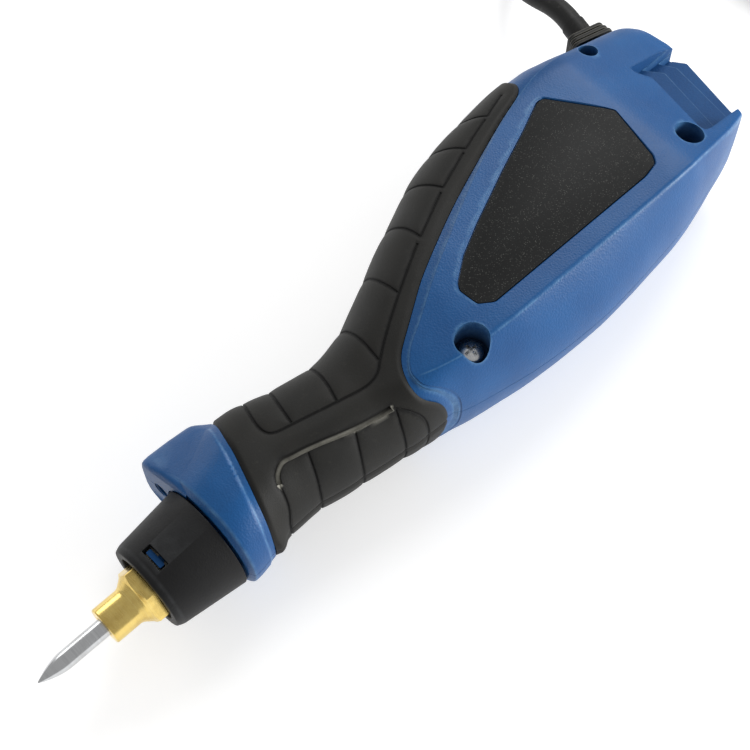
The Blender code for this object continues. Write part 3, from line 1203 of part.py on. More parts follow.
def main():
    for obj in list(bpy.data.objects):
        bpy.data.objects.remove(obj)
    blue = material("blue_moulded_plastic", (0.030, 0.095, 0.270), 0.45)
    rubber = material("black_rubber", (0.018, 0.018, 0.017), 0.75)
    black = material("black_moulded_plastic", (0.015, 0.015, 0.017), 0.50)
    plate = material("printed_plate", (0.012, 0.012, 0.013), 0.55)
    brass = material("brass", (0.72, 0.50, 0.18), 0.25, 1.0)
    steel = material("bright_steel", (0.62, 0.62, 0.60), 0.30, 1.0)
    iron = material("core_iron", (0.22, 0.22, 0.23), 0.50, 1.0)
    copper = material("enamelled_copper", (0.55, 0.22, 0.08), 0.35, 1.0)
    felt = material("felt", (0.30, 0.29, 0.26), 0.95)
    bronze = material("sintered_bronze", (0.45, 0.30, 0.15), 0.55, 1.0)
    board = material("board", (0.03, 0.16, 0.06), 0.50)
    ivory = material("ivory_plastic", (0.70, 0.66, 0.55), 0.45)
    clear = material("clear_lamp", (0.85, 0.87, 0.90), 0.10)
    cord = material("black_cord", (0.016, 0.016, 0.016), 0.60)

    pen = bpy.data.objects.new("pen", None)
    bpy.context.scene.collection.objects.link(pen)
    pen.location = FRAME_OFFSET

    for side in (1, -1):
        finish(shell(side), blue, pen)
        finish(grip(side), rubber, pen)
    finish(nose_cone(), black, pen)
    finish(rating_plate(), plate, pen)
    finish(work_light(), clear, pen)
    for index in range(len(SCREW_PLACES)):
        finish(case_screw(index), steel, pen)

    plunger_origin = (PLUNGER_FRONT, 0.0, 0.0)
    finish(plunger(), steel, pen, plunger_origin)
    finish(return_spring(), steel, pen)
    finish(armature(), iron, pen, (ARMATURE_FRONT, 0.0, 0.0))
    finish(stylus(), steel, pen)
    finish(collet(), brass, pen, (STYLUS_REACH, 0.0, 0.0))
    finish(collet_nut(), brass, pen, (STYLUS_REACH, 0.0, 0.0))
    bore = PLUNGER_RADIUS + RUNNING_GAP
    finish(ring("plunger_bush", BUSH_FRONT + GAP, BUSH_LENGTH, SLEEVE_BORE - GAP, bore), bronze, pen)
    finish(ring("rear_guide", GUIDE_PLACE, GUIDE_LENGTH, GUIDE_RADIUS, bore), bronze, pen)
    finish(ring("dust_seal", SEAL_FRONT, SEAL_LENGTH, SLEEVE_RADIUS, bore), felt, pen)
    finish(core(), iron, pen)
    finish(bobbin(), black, pen)
    finish(winding(), copper, pen)
    finish(circuit_board(), board, pen)
    finish(terminal_block(), ivory, pen)

    finish(stroke_dial(), black, pen, (*DIAL_PLACE, -BODY_HALF_WIDTH))
    finish(stop_slide(), steel, pen)
    finish(switch_frame(), black, pen)
    finish(switch_rocker(), black, pen, (*SWITCH_PLACE, ROCKER_PIVOT_DEPTH - BODY_HALF_WIDTH))

    finish(strain_relief(), rubber, pen)
    lead, lead_length = smooth_route(CORD_ROUTE)
    tail, tail_length = smooth_route(TAIL_ROUTE)
    turns = coil_points()
    coil_length = sum((b - a).length for a, b in zip(turns, turns[1:]))
    finish(tube_curve("cord_lead", lead, CORD_RADIUS, CORD_ROUND_POINTS), cord, pen)
    finish(tube_curve("cord_coil", turns, CORD_RADIUS, COIL_ROUND_POINTS), cord, pen)
    finish(tube_curve("cord_tail", tail, CORD_RADIUS, CORD_ROUND_POINTS), cord, pen)
    finish(cord_tie(), black, pen)
    finish(plug_body(), rubber, pen)
    for side in (-1, 1):
        finish(plug_pin(side), steel, pen)
    print(f"coil: least gap between turns {1000 * least_gap(turns):.2f} mm")
    print(f"cord: {lead_length + coil_length + tail_length:.3f} m in all")


main()
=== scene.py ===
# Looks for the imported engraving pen. Shapes are worked out on the pen's own axes
# (x back from the stylus tip, y toward the underside, z toward the right shell), in metres.
import math

import bmesh
import bpy
import numpy as np
from mathutils import Matrix, Vector


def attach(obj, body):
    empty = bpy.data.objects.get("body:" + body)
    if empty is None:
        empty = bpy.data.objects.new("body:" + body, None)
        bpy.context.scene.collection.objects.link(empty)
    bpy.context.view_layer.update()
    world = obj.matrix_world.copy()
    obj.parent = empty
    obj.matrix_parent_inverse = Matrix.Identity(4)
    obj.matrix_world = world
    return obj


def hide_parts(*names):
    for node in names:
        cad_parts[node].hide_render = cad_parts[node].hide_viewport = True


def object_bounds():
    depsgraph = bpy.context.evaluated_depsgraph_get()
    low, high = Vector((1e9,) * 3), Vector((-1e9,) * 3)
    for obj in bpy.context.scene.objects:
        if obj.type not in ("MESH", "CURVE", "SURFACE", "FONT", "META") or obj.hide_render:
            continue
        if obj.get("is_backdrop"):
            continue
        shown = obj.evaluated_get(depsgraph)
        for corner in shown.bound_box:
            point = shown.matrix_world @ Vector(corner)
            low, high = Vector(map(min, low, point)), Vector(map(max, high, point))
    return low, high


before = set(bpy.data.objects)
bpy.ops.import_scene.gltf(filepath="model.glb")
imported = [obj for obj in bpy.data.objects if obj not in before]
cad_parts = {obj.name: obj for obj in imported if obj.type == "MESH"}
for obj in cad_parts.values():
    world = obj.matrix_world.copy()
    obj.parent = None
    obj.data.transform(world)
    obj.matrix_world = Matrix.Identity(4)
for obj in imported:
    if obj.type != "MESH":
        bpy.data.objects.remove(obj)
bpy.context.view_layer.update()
penToFrame = Vector((-0.1025, -0.0093, 0.0175))
fine = 1.0


# Camera

photoView = {
    "place": (-0.11097, -0.1179, 0.3103),
    "toward": (-0.349, -0.385, 1.0),  # from the pen to the lens
    "nose": (-1.0, 0.0, 0.0),
    "roll": (-0.642, -0.767),
    "lens": 74.0, "sensor": 36.0, "clip": (0.01, 20.0),
}


def makeCamera(view):
    toward = Vector(view["toward"]).normalized()
    nose = Vector(view["nose"])
    across = (nose - toward * nose.dot(toward)).normalized()
    upward = toward.cross(across)
    roll = math.atan2(*view["roll"])
    right = across * math.cos(roll) - upward * math.sin(roll)
    top = across * math.sin(roll) + upward * math.cos(roll)
    lens = bpy.data.cameras.new("photoCamera")
    lens.lens, lens.sensor_width = view["lens"], view["sensor"]
    lens.clip_start, lens.clip_end = view["clip"]
    made = bpy.data.objects.new("photoCamera", lens)
    turn = Matrix((right, top, toward)).transposed().to_4x4()
    made.matrix_world = Matrix.Translation(view["place"]) @ turn
    bpy.context.scene.collection.objects.link(made)
    bpy.context.scene.camera = made


makeCamera(photoView)
print("camera set")


# Sockets and finishes

class Wire:  # one socket, so that shader maths reads as arithmetic
    def __init__(self, finish, socket):
        self.finish, self.socket = finish, socket

    def __add__(self, other):
        return self.finish.maths("ADD", self, other)

    def __sub__(self, other):
        return self.finish.maths("SUBTRACT", self, other)

    def __rsub__(self, other):
        return self.finish.maths("SUBTRACT", other, self)

    def __mul__(self, other):
        return self.finish.maths("MULTIPLY", self, other)

    __radd__ = __add__
    __rmul__ = __mul__


class Finish:  # one material and the nodes that feed its shader
    def __init__(self, name, **fixed):
        self.material = bpy.data.materials.new(name)
        self.material.use_nodes = True
        self.nodes, self.links = self.material.node_tree.nodes, self.material.node_tree.links
        self.shader = self.nodes["Principled BSDF"]
        for socket, value in fixed.items():
            self.shader.inputs[socket.replace("_", " ")].default_value = value
        self.spot = self.node("TexCoord", output="Object")

    def node(self, kind, settings=None, sockets=None, output=0):
        made = self.nodes.new("ShaderNode" + kind)
        for name, value in (settings or {}).items():
            if name == "stops":
                ramp = made.color_ramp.elements
                while len(ramp) < len(value):
                    ramp.new(0.5)
                for stop, (place, colour) in zip(ramp, value):
                    stop.position, stop.color = place, (*colour, 1.0)
            else:
                setattr(made, name, value)
        for name, value in (sockets or {}).items():
            if isinstance(value, Wire):
                self.links.new(value.socket, made.inputs[name])
            else:
                made.inputs[name].default_value = value
        return Wire(self, made.outputs[output])

    def maths(self, operation, first, second):
        return self.node("Math", {"operation": operation}, {0: first, 1: second})

    def noise(self, scale, detail=3.0, rough=0.55, stretch=None):
        spot = self.spot
        if stretch:
            spot = self.node("Mapping", {}, {"Vector": spot, "Scale": stretch}, "Vector")
        return self.node("TexNoise", {}, {
            "Vector": spot, "Scale": scale, "Detail": detail, "Roughness": rough,
        }, "Fac")

    def cells(self, scale):
        return self.node("TexVoronoi", {"feature": "F1"}, {"Vector": self.spot, "Scale": scale}, "Distance")

    def ramp(self, value, *stops):
        greys = [(at, (grey,) * 3) for at, grey in stops]
        return self.node("ValToRGB", {"stops": greys}, {"Fac": value}, "Color")

    def rise(self, value, low, high):  # 0 below low, 1 above high
        return self.ramp(value, (low, 0.0), (high, 1.0))

    def blend(self, share, first, second):
        four = [(*c, 1.0) if isinstance(c, tuple) else c for c in (first, second)]
        return self.node("Mix", {"data_type": "RGBA"}, {0: share, 6: four[0], 7: four[1]}, 2)

    def mark(self, name):  # a value that the shape carries from point to point
        return self.node("Attribute", {"attribute_name": name}, output="Fac")

    def bump(self, height, depth, strength=1.0, under=None):
        sockets = {"Height": height, "Distance": depth, "Strength": strength}
        if under:
            sockets["Normal"] = under
        return self.node("Bump", {}, sockets, "Normal")

    def feed(self, **wires):
        for socket, wire in wires.items():
            self.links.new(wire.socket, self.shader.inputs[socket.replace("_", " ")])
        return self.material


def tone(*seen):  # a colour as seen on screen, 0 to 255, for a shader
    return tuple(((c / 255 + 0.055) / 1.055) ** 2.4 if c > 10 else c / 255 / 12.92 for c in seen)


def bluePlastic():  # spark-eroded moulded plastic, with a painted highlight along its edges and painted shade in its holes and hollows
    f = Finish("bluePlastic", Specular_IOR_Level=0.30)
    cloud, grain, pits = f.noise(70.0, 4.0), f.noise(2600.0, 2.0), f.cells(2100.0)
    # painted highlight along edges where the edge mark is set, broken up by noise
    edgeHighlight = f.mark("edge") * f.ramp(f.noise(420.0), (0.30, 0.25), (0.65, 1.0))
    colour = f.blend(f.rise(cloud, 0.30, 0.70), tone(14, 73, 128), tone(20, 83, 140))
    colour = f.blend(edgeHighlight * 0.50, colour, tone(98, 144, 184))
    colour = f.blend(f.rise(grain, 0.35, 0.75) * 0.22, colour, tone(15, 54, 100))
    # painted shade in holes, on the notch's floors and over the nose tabs, where the deep mark is set
    colour = f.blend(f.mark("deep") * 0.80, colour, tone(8, 22, 48))
    bumps = f.bump(grain * 0.7 + pits * 0.6, 0.00007, 0.70)
    rough = f.noise(180.0) * 0.12 + 0.36 - edgeHighlight * 0.06 + f.mark("deep")
    return f.feed(Base_Color=colour, Roughness=rough, Normal=bumps)


def blackRubber():  # overmoulded rubber, with painted shade along its grooves and a painted highlight on the floors of its broad grooves
    f = Finish("blackRubber", Specular_IOR_Level=0.28)
    cloud, grain = f.noise(90.0, 5.0), f.noise(3000.0, 3.0)
    # the low mark paints shade along and beside the grooves
    low = f.mark("low")
    colour = f.blend(f.rise(cloud, 0.30, 0.72), tone(21, 21, 19), tone(30, 29, 26))
    colour = f.blend(low * 0.85, colour, tone(8, 8, 8))
    # painted highlight on the floors of the broad grooves, broken up by noise
    dust = f.mark("dust") * f.ramp(f.noise(500.0), (0.25, 0.55), (0.70, 1.0))
    colour = f.blend(dust, colour, tone(150, 148, 138))
    colour = f.blend(f.rise(f.noise(900.0, 2.0), 0.62, 0.80) * 0.20, colour, tone(58, 56, 50))
    bumps = f.bump(grain, 0.00006, 0.60)
    return f.feed(Base_Color=colour, Roughness=cloud * 0.20 + 0.50 + low * 0.15, Normal=bumps)


def coneBlack():  # fine-textured black moulding
    f = Finish("coneBlack", Specular_IOR_Level=0.26)
    grain = f.noise(2400.0, 2.0)
    # painted highlight along the rim and the windows' edges, where the edge mark is set
    edgeHighlight = f.mark("edge") * f.noise(500.0)
    colour = f.blend(f.rise(f.noise(120.0), 0.3, 0.7), tone(12, 12, 13), tone(19, 19, 20))
    colour = f.blend(edgeHighlight * 0.5, colour, tone(70, 72, 74))
    return f.feed(Base_Color=colour, Roughness=f.noise(260.0) * 0.14 + 0.46,
                  Normal=f.bump(grain + f.cells(2900.0) * 0.6, 0.00006, 0.6))


def turnedBrass():  # fine rings left by the lathe, and a little tarnish
    f = Finish("turnedBrass", Metallic=1.0)
    rings = f.noise(1.0, 2.0, 0.5, (9000.0, 60.0, 60.0))
    tarnish = f.rise(f.noise(240.0, 5.0), 0.45, 0.75)
    colour = f.blend(rings, tone(226, 192, 100), tone(248, 224, 146))
    colour = f.blend(tarnish * 0.45, colour, tone(150, 112, 44))
    return f.feed(Base_Color=colour, Roughness=rings * 0.10 + 0.17 + tarnish * 0.12,
                  Normal=f.bump(rings, 0.00002, 0.45))


def brightSteel(name="brightSteel", low=0.16, along=(7000.0, 60.0, 60.0)):
    f = Finish(name, Metallic=1.0)
    rings = f.noise(1.0, 2.0, 0.5, along)
    stain = f.rise(f.noise(300.0, 5.0), 0.50, 0.80)
    colour = f.blend(rings, tone(186, 188, 190), tone(224, 225, 226))
    colour = f.blend(stain * 0.40, colour, tone(140, 136, 130))
    return f.feed(Base_Color=colour, Roughness=rings * 0.10 + low + stain * 0.15,
                  Normal=f.bump(rings, 0.00002, 0.40))


def speckledPlate():  # printed black, with fine pale specks
    f = Finish("speckledPlate", Specular_IOR_Level=0.13)
    specks = f.ramp(f.cells(2500.0), (0.14, 1.0), (0.30, 0.0)) * f.rise(f.noise(900.0), 0.36, 0.60)
    cloud = f.noise(130.0, 4.0)
    colour = f.blend(f.rise(cloud, 0.3, 0.7), tone(10, 10, 10), tone(15, 15, 15))
    colour = f.blend(specks * 0.75, colour, tone(104, 104, 100))
    # painted highlight along the plate's edge
    colour = f.blend(f.mark("edge") * 0.30, colour, tone(90, 92, 92))
    return f.feed(Base_Color=colour, Roughness=cloud * 0.16 + 0.46 + specks * 0.10,
                  Normal=f.bump(specks + f.noise(2400.0) * 0.4, 0.00003, 0.5))


def clearLamp():
    f = Finish("clearLamp", Transmission_Weight=0.85, IOR=1.5)
    swirl = f.noise(900.0, 2.0)
    return f.feed(Base_Color=f.blend(swirl, tone(226, 232, 238), tone(250, 251, 252)),
                  Roughness=swirl * 0.08 + 0.04, Normal=f.bump(swirl, 0.00002, 0.3))


def cordRubber(name, dark, light, rough):
    f = Finish(name, Specular_IOR_Level=0.26)
    cloud, grain = f.noise(110.0, 4.0), f.noise(2200.0, 3.0)
    dust = f.rise(f.noise(700.0, 3.0), 0.58, 0.78)
    colour = f.blend(f.rise(cloud, 0.3, 0.7), dark, light)
    colour = f.blend(dust * 0.22, colour, tone(92, 90, 84))
    # painted highlight along the strain relief rings' rounded edges
    colour = f.blend(f.mark("edge") * 0.60, colour, tone(118, 116, 108))
    return f.feed(Base_Color=colour, Roughness=cloud * 0.18 + rough, Normal=f.bump(grain, 0.00005, 0.5))


def plainInside(name, dark, light, rough, metallic, scale, depth=0.00004):  # inside, seen only when apart
    f = Finish(name, Metallic=metallic)
    grain = f.noise(scale, 4.0)
    return f.feed(Base_Color=f.blend(f.rise(grain, 0.35, 0.68), dark, light),
                  Roughness=f.noise(scale / 3) * 0.15 + rough, Normal=f.bump(grain, depth, 0.6))


finishes = {
    "blue": bluePlastic(), "rubber": blackRubber(), "cone": coneBlack(), "brass": turnedBrass(),
    "steel": brightSteel(), "screwSteel": brightSteel("screwSteel", 0.20, (900.0, 900.0, 60.0)),
    "plate": speckledPlate(), "lamp": clearLamp(),
    "cord": cordRubber("cordRubber", tone(17, 17, 17), tone(27, 27, 26), 0.42),
    "relief": cordRubber("reliefRubber", tone(16, 16, 16), tone(26, 26, 25), 0.46),
    "iron": plainInside("coreIron", tone(96, 98, 102), tone(140, 142, 146), 0.42, 1.0, 700.0),
    "copper": plainInside("woundCopper", tone(150, 78, 40), tone(196, 112, 62), 0.30, 1.0, 1600.0, 0.00010),
    "felt": plainInside("ringFelt", tone(120, 117, 108), tone(160, 156, 144), 0.85, 0.0, 2600.0, 0.00020),
    "bronze": plainInside("sinteredBronze", tone(140, 108, 66), tone(182, 146, 92), 0.48, 1.0, 2200.0),
    "board": plainInside("boardGreen", tone(26, 84, 44), tone(40, 112, 60), 0.42, 0.0, 1400.0),
    "ivory": plainInside("terminalIvory", tone(214, 206, 182), tone(232, 226, 206), 0.40, 0.0, 1100.0),
}
print("finishes made:", len(finishes))


# Helpers for shapes

def addPiece(name, spots, faces):
    mesh = bpy.data.meshes.new(name)
    mesh.from_pydata([tuple(map(float, spot)) for spot in spots], [], [list(map(int, face)) for face in faces])
    piece = bpy.data.objects.new(name, mesh)
    bpy.context.scene.collection.objects.link(piece)
    work = bmesh.new()
    work.from_mesh(mesh)
    bmesh.ops.recalc_face_normals(work, faces=work.faces)
    work.to_mesh(mesh)
    work.free()
    return piece


def freeze(piece):  # keep what the modifiers make
    graph = bpy.context.evaluated_depsgraph_get()
    mesh = bpy.data.meshes.new_from_object(piece.evaluated_get(graph))
    piece.modifiers.clear()
    piece.data = mesh
    return piece


def carve(piece, tools, how="DIFFERENCE", solver="MANIFOLD"):
    tools = tools if isinstance(tools, (list, tuple)) else [tools]
    for tool in tools:
        step = piece.modifiers.new("carve", "BOOLEAN")
        step.operation, step.solver, step.object = how, solver, tool
        freeze(piece)
        bpy.data.objects.remove(tool)
    return piece


def stack(name, rings, closed=False):  # a body through rings of as many points each, ends capped or joined up
    count, rows = len(rings[0]), len(rings)
    faces = []
    for row in range(rows if closed else rows - 1):
        here, above = row * count, (row + 1) % rows * count
        faces += [(here + k, here + (k + 1) % count, above + (k + 1) % count, above + k) for k in range(count)]
    if not closed:
        faces += [range(count), range(rows * count - count, rows * count)]
    return addPiece(name, [spot for ring in rings for spot in ring], faces)


def turns(count):  # angles once round
    return [2 * math.pi * k / count for k in range(count)]


def quarter(count):  # angles over a quarter turn, with both ends
    return [math.pi / 2 * k / count for k in range(count + 1)]


def disc(centre, radius, count=48):
    return [(centre[0] + radius * math.cos(t), centre[1] + radius * math.sin(t)) for t in turns(count)]


def oblong(x0, x1, y0, y1):
    return [(x0, y0), (x1, y0), (x1, y1), (x0, y1)]


def lathe(name, profile, segments=96, centre=(0.0, 0.0), tube=False):  # (x, radius) pairs about a line along x
    steps = max(24, int(segments / fine))
    rings = [[(x, *spot) for spot in disc(centre, max(radius, 1e-6), steps)] for x, radius in profile]
    return stack(name, rings, tube)


def scaled(scale, table):  # a table of whole numbers, as parts of the scale
    return tuple(scaled(scale, row) if isinstance(row, tuple) else row / scale for row in table)


def softCorner(before, corner, after, reach, steps=4):  # a rounded corner between two edges of a profile
    before, corner, after = Vector(before), Vector(corner), Vector(after)
    start = corner + (before - corner).normalized() * min(reach, (before - corner).length * 0.48)
    end = corner + (after - corner).normalized() * min(reach, (after - corner).length * 0.48)
    shares = [k / steps for k in range(steps + 1)]
    return [tuple(start.lerp(corner, t).lerp(corner.lerp(end, t), t)) for t in shares]


def softProfile(profile, reach, ends=True):  # the same profile with its corners rounded
    made = [profile[0]] if ends else []
    count = len(profile)
    for k in (range(1, count - 1) if ends else range(count)):
        size = reach[k] if isinstance(reach, (list, tuple)) else reach
        if size:
            made += softCorner(profile[k - 1], profile[k], profile[(k + 1) % count], size)
        else:
            made.append(profile[k])
    return made + ([profile[-1]] if ends else [])


def layered(name, outline, layers):  # an outline of (x, y) at each z, spread by its own distance
    shapes = [(spreadOutline(outline, by) if by else outline, z) for z, by in layers]
    return stack(name, [[(x, y, z) for x, y in shape] for shape, z in shapes])


def upright(name, outline, low, high, side=1):  # an outline carried along z, on the right half or the left
    return layered(name, outline, [(z, 0.0) for z in sorted((side * low, side * high))])


def spreadOutline(outline, by):  # moved outward by a distance
    line = np.array(outline)
    before, after = np.roll(line, 1, axis=0), np.roll(line, -1, axis=0)
    area = np.sum(line[:, 0] * after[:, 1] - after[:, 0] * line[:, 1])
    turn = 1.0 if area > 0 else -1.0
    first, second = line - before, after - line
    first /= np.linalg.norm(first, axis=1)[:, None]
    second /= np.linalg.norm(second, axis=1)[:, None]
    normal = np.stack([first[:, 1] + second[:, 1], -first[:, 0] - second[:, 0]], axis=1) * turn
    normal /= np.linalg.norm(normal, axis=1)[:, None]
    fit = np.clip(np.abs(normal[:, 0] * first[:, 1] - normal[:, 1] * first[:, 0]), 0.5, 1.0)
    return [tuple(p) for p in line + normal * (by / fit)[:, None]]


def roundedOutline(outline, reach):
    return softProfile([tuple(p) for p in outline], reach, ends=False)


def calmLine(line, rounds=2, loop=True):  # corners cut off, again and again
    line = [np.array(p, float) for p in line]
    for _ in range(rounds):
        made = [] if loop else [line[0]]
        pairs = zip(line, line[1:] + (line[:1] if loop else []))
        for a, b in pairs:
            made += [a * 0.75 + b * 0.25, a * 0.25 + b * 0.75]
        line = made if loop else made + [line[-1]]
    return np.array(line)


def lineDistance(spots, line, loop=False):  # from each (x, y) to the nearest point of a line
    starts, ends = np.array(line), np.roll(np.array(line), -1, axis=0)
    if not loop:
        starts, ends = starts[:-1], ends[:-1]
    least = np.full(len(spots), np.inf)
    for a, b in zip(starts, ends):
        run = b - a
        share = np.clip(((spots - a) @ run) / max(run @ run, 1e-18), 0, 1)
        least = np.minimum(least, np.linalg.norm(spots - a - share[:, None] * run, axis=1))
    return least


def insideBy(spots, outline):  # distance to the outline, plus inside it and minus outside
    line = np.array(outline)
    crossing = np.zeros(len(spots), bool)
    x, y = spots.T
    for (x0, y0), (x1, y1) in zip(line, np.roll(line, -1, axis=0)):
        if y0 != y1:
            crossing ^= ((y0 > y) != (y1 > y)) & (x < (x1 - x0) * (y - y0) / (y1 - y0) + x0)
    return np.where(crossing, 1.0, -1.0) * lineDistance(spots, line, loop=True)


def climb(value, low, high):  # 0 below low, 1 above high, smooth between
    t = np.clip((value - low) / (high - low), 0.0, 1.0)
    return t * t * (3 - 2 * t)


def dress(piece, finish, body, nodes=(), angle=32.0):
    piece.data.materials.clear()
    piece.data.materials.append(finishes[finish])
    if piece.type == "MESH":
        piece.data.transform(Matrix.Translation(penToFrame))
        piece.data.shade_smooth()
        piece.data.set_sharp_from_angle(angle=math.radians(angle))
    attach(piece, body)
    if nodes:
        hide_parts(*nodes)
    return piece


def points(piece):
    spots = np.empty(len(piece.data.vertices) * 3, np.float32)
    piece.data.vertices.foreach_get("co", spots)
    return spots.reshape(-1, 3)


def setMark(piece, name, values):
    layer = piece.data.attributes.new(name, "FLOAT", "POINT")
    layer.data.foreach_set("value", np.clip(values, 0.0, 1.0).astype(np.float32))


# Cord

cordFacts = {
    "diameter": 0.0055, "length": 1.492,
    "lead": scaled(100000, (
        (19371, 3997, 0), (19485, 4480, -20), (19540, 4940, -95), (19585, 5599, -295),
        (19765, 6172, -550), (20088, 6678, -815), (20531, 7084, -1065), (21063, 7361, -1270),
        (21650, 7491, -1400), (22325, 7500, -1455), (23000, 7491, -1470), (23587, 7361, -1470),
        (24119, 7084, -1470), (24562, 6678, -1465), (24885, 6172, -1455), (25065, 5599, -1445),
        (25100, 5000, -1430), (25100, 4350, -1410), (25100, 3700, -1392), (25100, 3150, -1380),
        (25100, 2780, -1375),
    )),
    "tail": scaled(100000, (
        (25100, 1620, -745), (25120, 1150, -700), (25220, 660, -510), (25420, 190, -260),
        (25710, -220, -30), (26070, -540, 140), (26490, -760, 220), (27070, -840, 230),
    )),
    "coilCentre": (0.2920, 0.0220), "coilRadius": 0.0410, "coilPitch": 0.0062, "coilLayer": 0.0063,
    "coilLow": -0.01375, "loopsPerLayer": 3.5, "climbLoops": 0.5, "pointsPerLoop": 40,
}


def curvedRoute(route, steps=5):  # a smooth curve through all its points
    knots = [Vector(p) for p in route]
    knots = [2 * knots[0] - knots[1], *knots, 2 * knots[-1] - knots[-2]]
    made = []
    for before, start, end, after in zip(knots, knots[1:], knots[2:], knots[3:]):
        for t in (k / steps for k in range(steps)):
            square, cube = 2 * before - 5 * start + 4 * end - after, 3 * start - before - 3 * end + after
            made.append(0.5 * (2 * start + (end - before) * t + square * t**2 + cube * t**3))
    return made + [knots[-2]]


def coilRoute(facts):  # inward in the lower layer, then outward in the upper one
    (x, y), total = facts["coilCentre"], 2 * facts["loopsPerLayer"]
    steps = round(total * facts["pointsPerLoop"])
    made = []
    for k in range(steps + 1):
        loops = total * k / steps
        up = min(max((loops - facts["loopsPerLayer"]) / facts["climbLoops"] + 0.5, 0.0), 1.0)
        angle = math.pi + 2 * math.pi * loops
        radius = facts["coilRadius"] - facts["coilPitch"] * min(loops, total - loops)
        made.append(Vector((x + radius * math.cos(angle), y + radius * math.sin(angle),
                            facts["coilLow"] + facts["coilLayer"] * up * up * (3 - 2 * up))))
    return made


def layCord(facts):
    route = curvedRoute(facts["lead"]) + coilRoute(facts) + curvedRoute(facts["tail"])
    data = bpy.data.curves.new("cord", "CURVE")
    data.dimensions, data.use_fill_caps = "3D", True
    data.bevel_depth, data.bevel_resolution = facts["diameter"] / 2, 5
    spline = data.splines.new("POLY")
    spline.points.add(len(route) - 1)
    for knot, place in zip(spline.points, route):
        knot.co = (*(place + penToFrame), 1.0)
    spline.use_smooth = True
    made = bpy.data.objects.new("cord", data)
    bpy.context.scene.collection.objects.link(made)
    made.data.materials.append(finishes["cord"])
    return made


cord = layCord(cordFacts)
print("cord laid")


# Housing surface

housing = {
    "front": 0.044, "length": 0.161, "top": 0.0195, "under": 0.0381, "halfWidth": 0.0175,
    "seam": 0.00008,  # half of the parting gap
    "cornerReach": 0.0009, "roundPower": 2.3, "step": 0.00034,
    "counts": (20, 5, 26, 48),  # across the arch, its corner, the side panel and the underside's round
    # place, top, underside, width, crease, lower edge of the side, and how far round has become flat
    "stations": scaled(1000, (
        (0, 615, 372, 714, 80, 60, 0), (9, 646, 388, 749, 80, 60, 0), (40, 610, 430, 783, 40, 80, 0),
        (82, 533, 480, 788, -50, 125, 0), (118, 518, 472, 777, -103, 157, 0),
        (180, 595, 402, 771, 10, 100, 0), (248, 677, 360, 771, 92, 58, 0),
        (298, 733, 396, 829, 320, 92, 150), (339, 740, 467, 897, 480, 131, 450),
        (379, 820, 546, 943, 570, 210, 800), (422, 890, 635, 983, 618, 276, 1000),
        (472, 962, 727, 1000, 640, 367, 1000), (534, 1006, 843, 1000, 642, 472, 1000),
        (590, 1018, 902, 1000, 645, 540, 1000), (660, 980, 944, 1000, 646, 590, 1000),
        (720, 920, 968, 1000, 646, 615, 1000), (764, 872, 962, 1000, 646, 630, 1000),
        (795, 820, 932, 985, 640, 630, 1000), (832, 744, 902, 900, 600, 630, 1000),
        (870, 650, 872, 780, 555, 620, 1000), (910, 540, 845, 660, 500, 610, 1000),
        (945, 435, 812, 545, 425, 600, 1000), (972, 345, 745, 400, 335, 560, 1000),
        (991, 295, 670, 240, 285, 510, 1000), (1000, 255, 600, 110, 245, 470, 1000),
    )),
}


def easedRows(places):  # the stations' values at these places, on smooth curves that never overshoot
    table = np.array(housing["stations"])
    knots, values = table[:, 0], table[:, 1:]
    widths = np.diff(knots)[:, None]
    slopes = np.diff(values, axis=0) / widths
    before, after = slopes[:-1], slopes[1:]
    same = before * after > 0
    bends = np.where(same, 2 * before * after / np.where(same, before + after, 1.0), 0.0)
    bends = np.vstack([slopes[:1], bends, slopes[-1:]])
    spot = np.clip(np.searchsorted(knots, places, side="right") - 1, 0, len(knots) - 2)
    t = ((places - knots[spot]) / np.diff(knots)[spot])[:, None]
    reach = widths[spot]
    return (values[spot] * (2 * t**3 - 3 * t**2 + 1) + bends[spot] * reach * (t**3 - 2 * t**2 + t)
            + values[spot + 1] * (3 * t**2 - 2 * t**3) + bends[spot + 1] * reach * (t**3 - t**2))


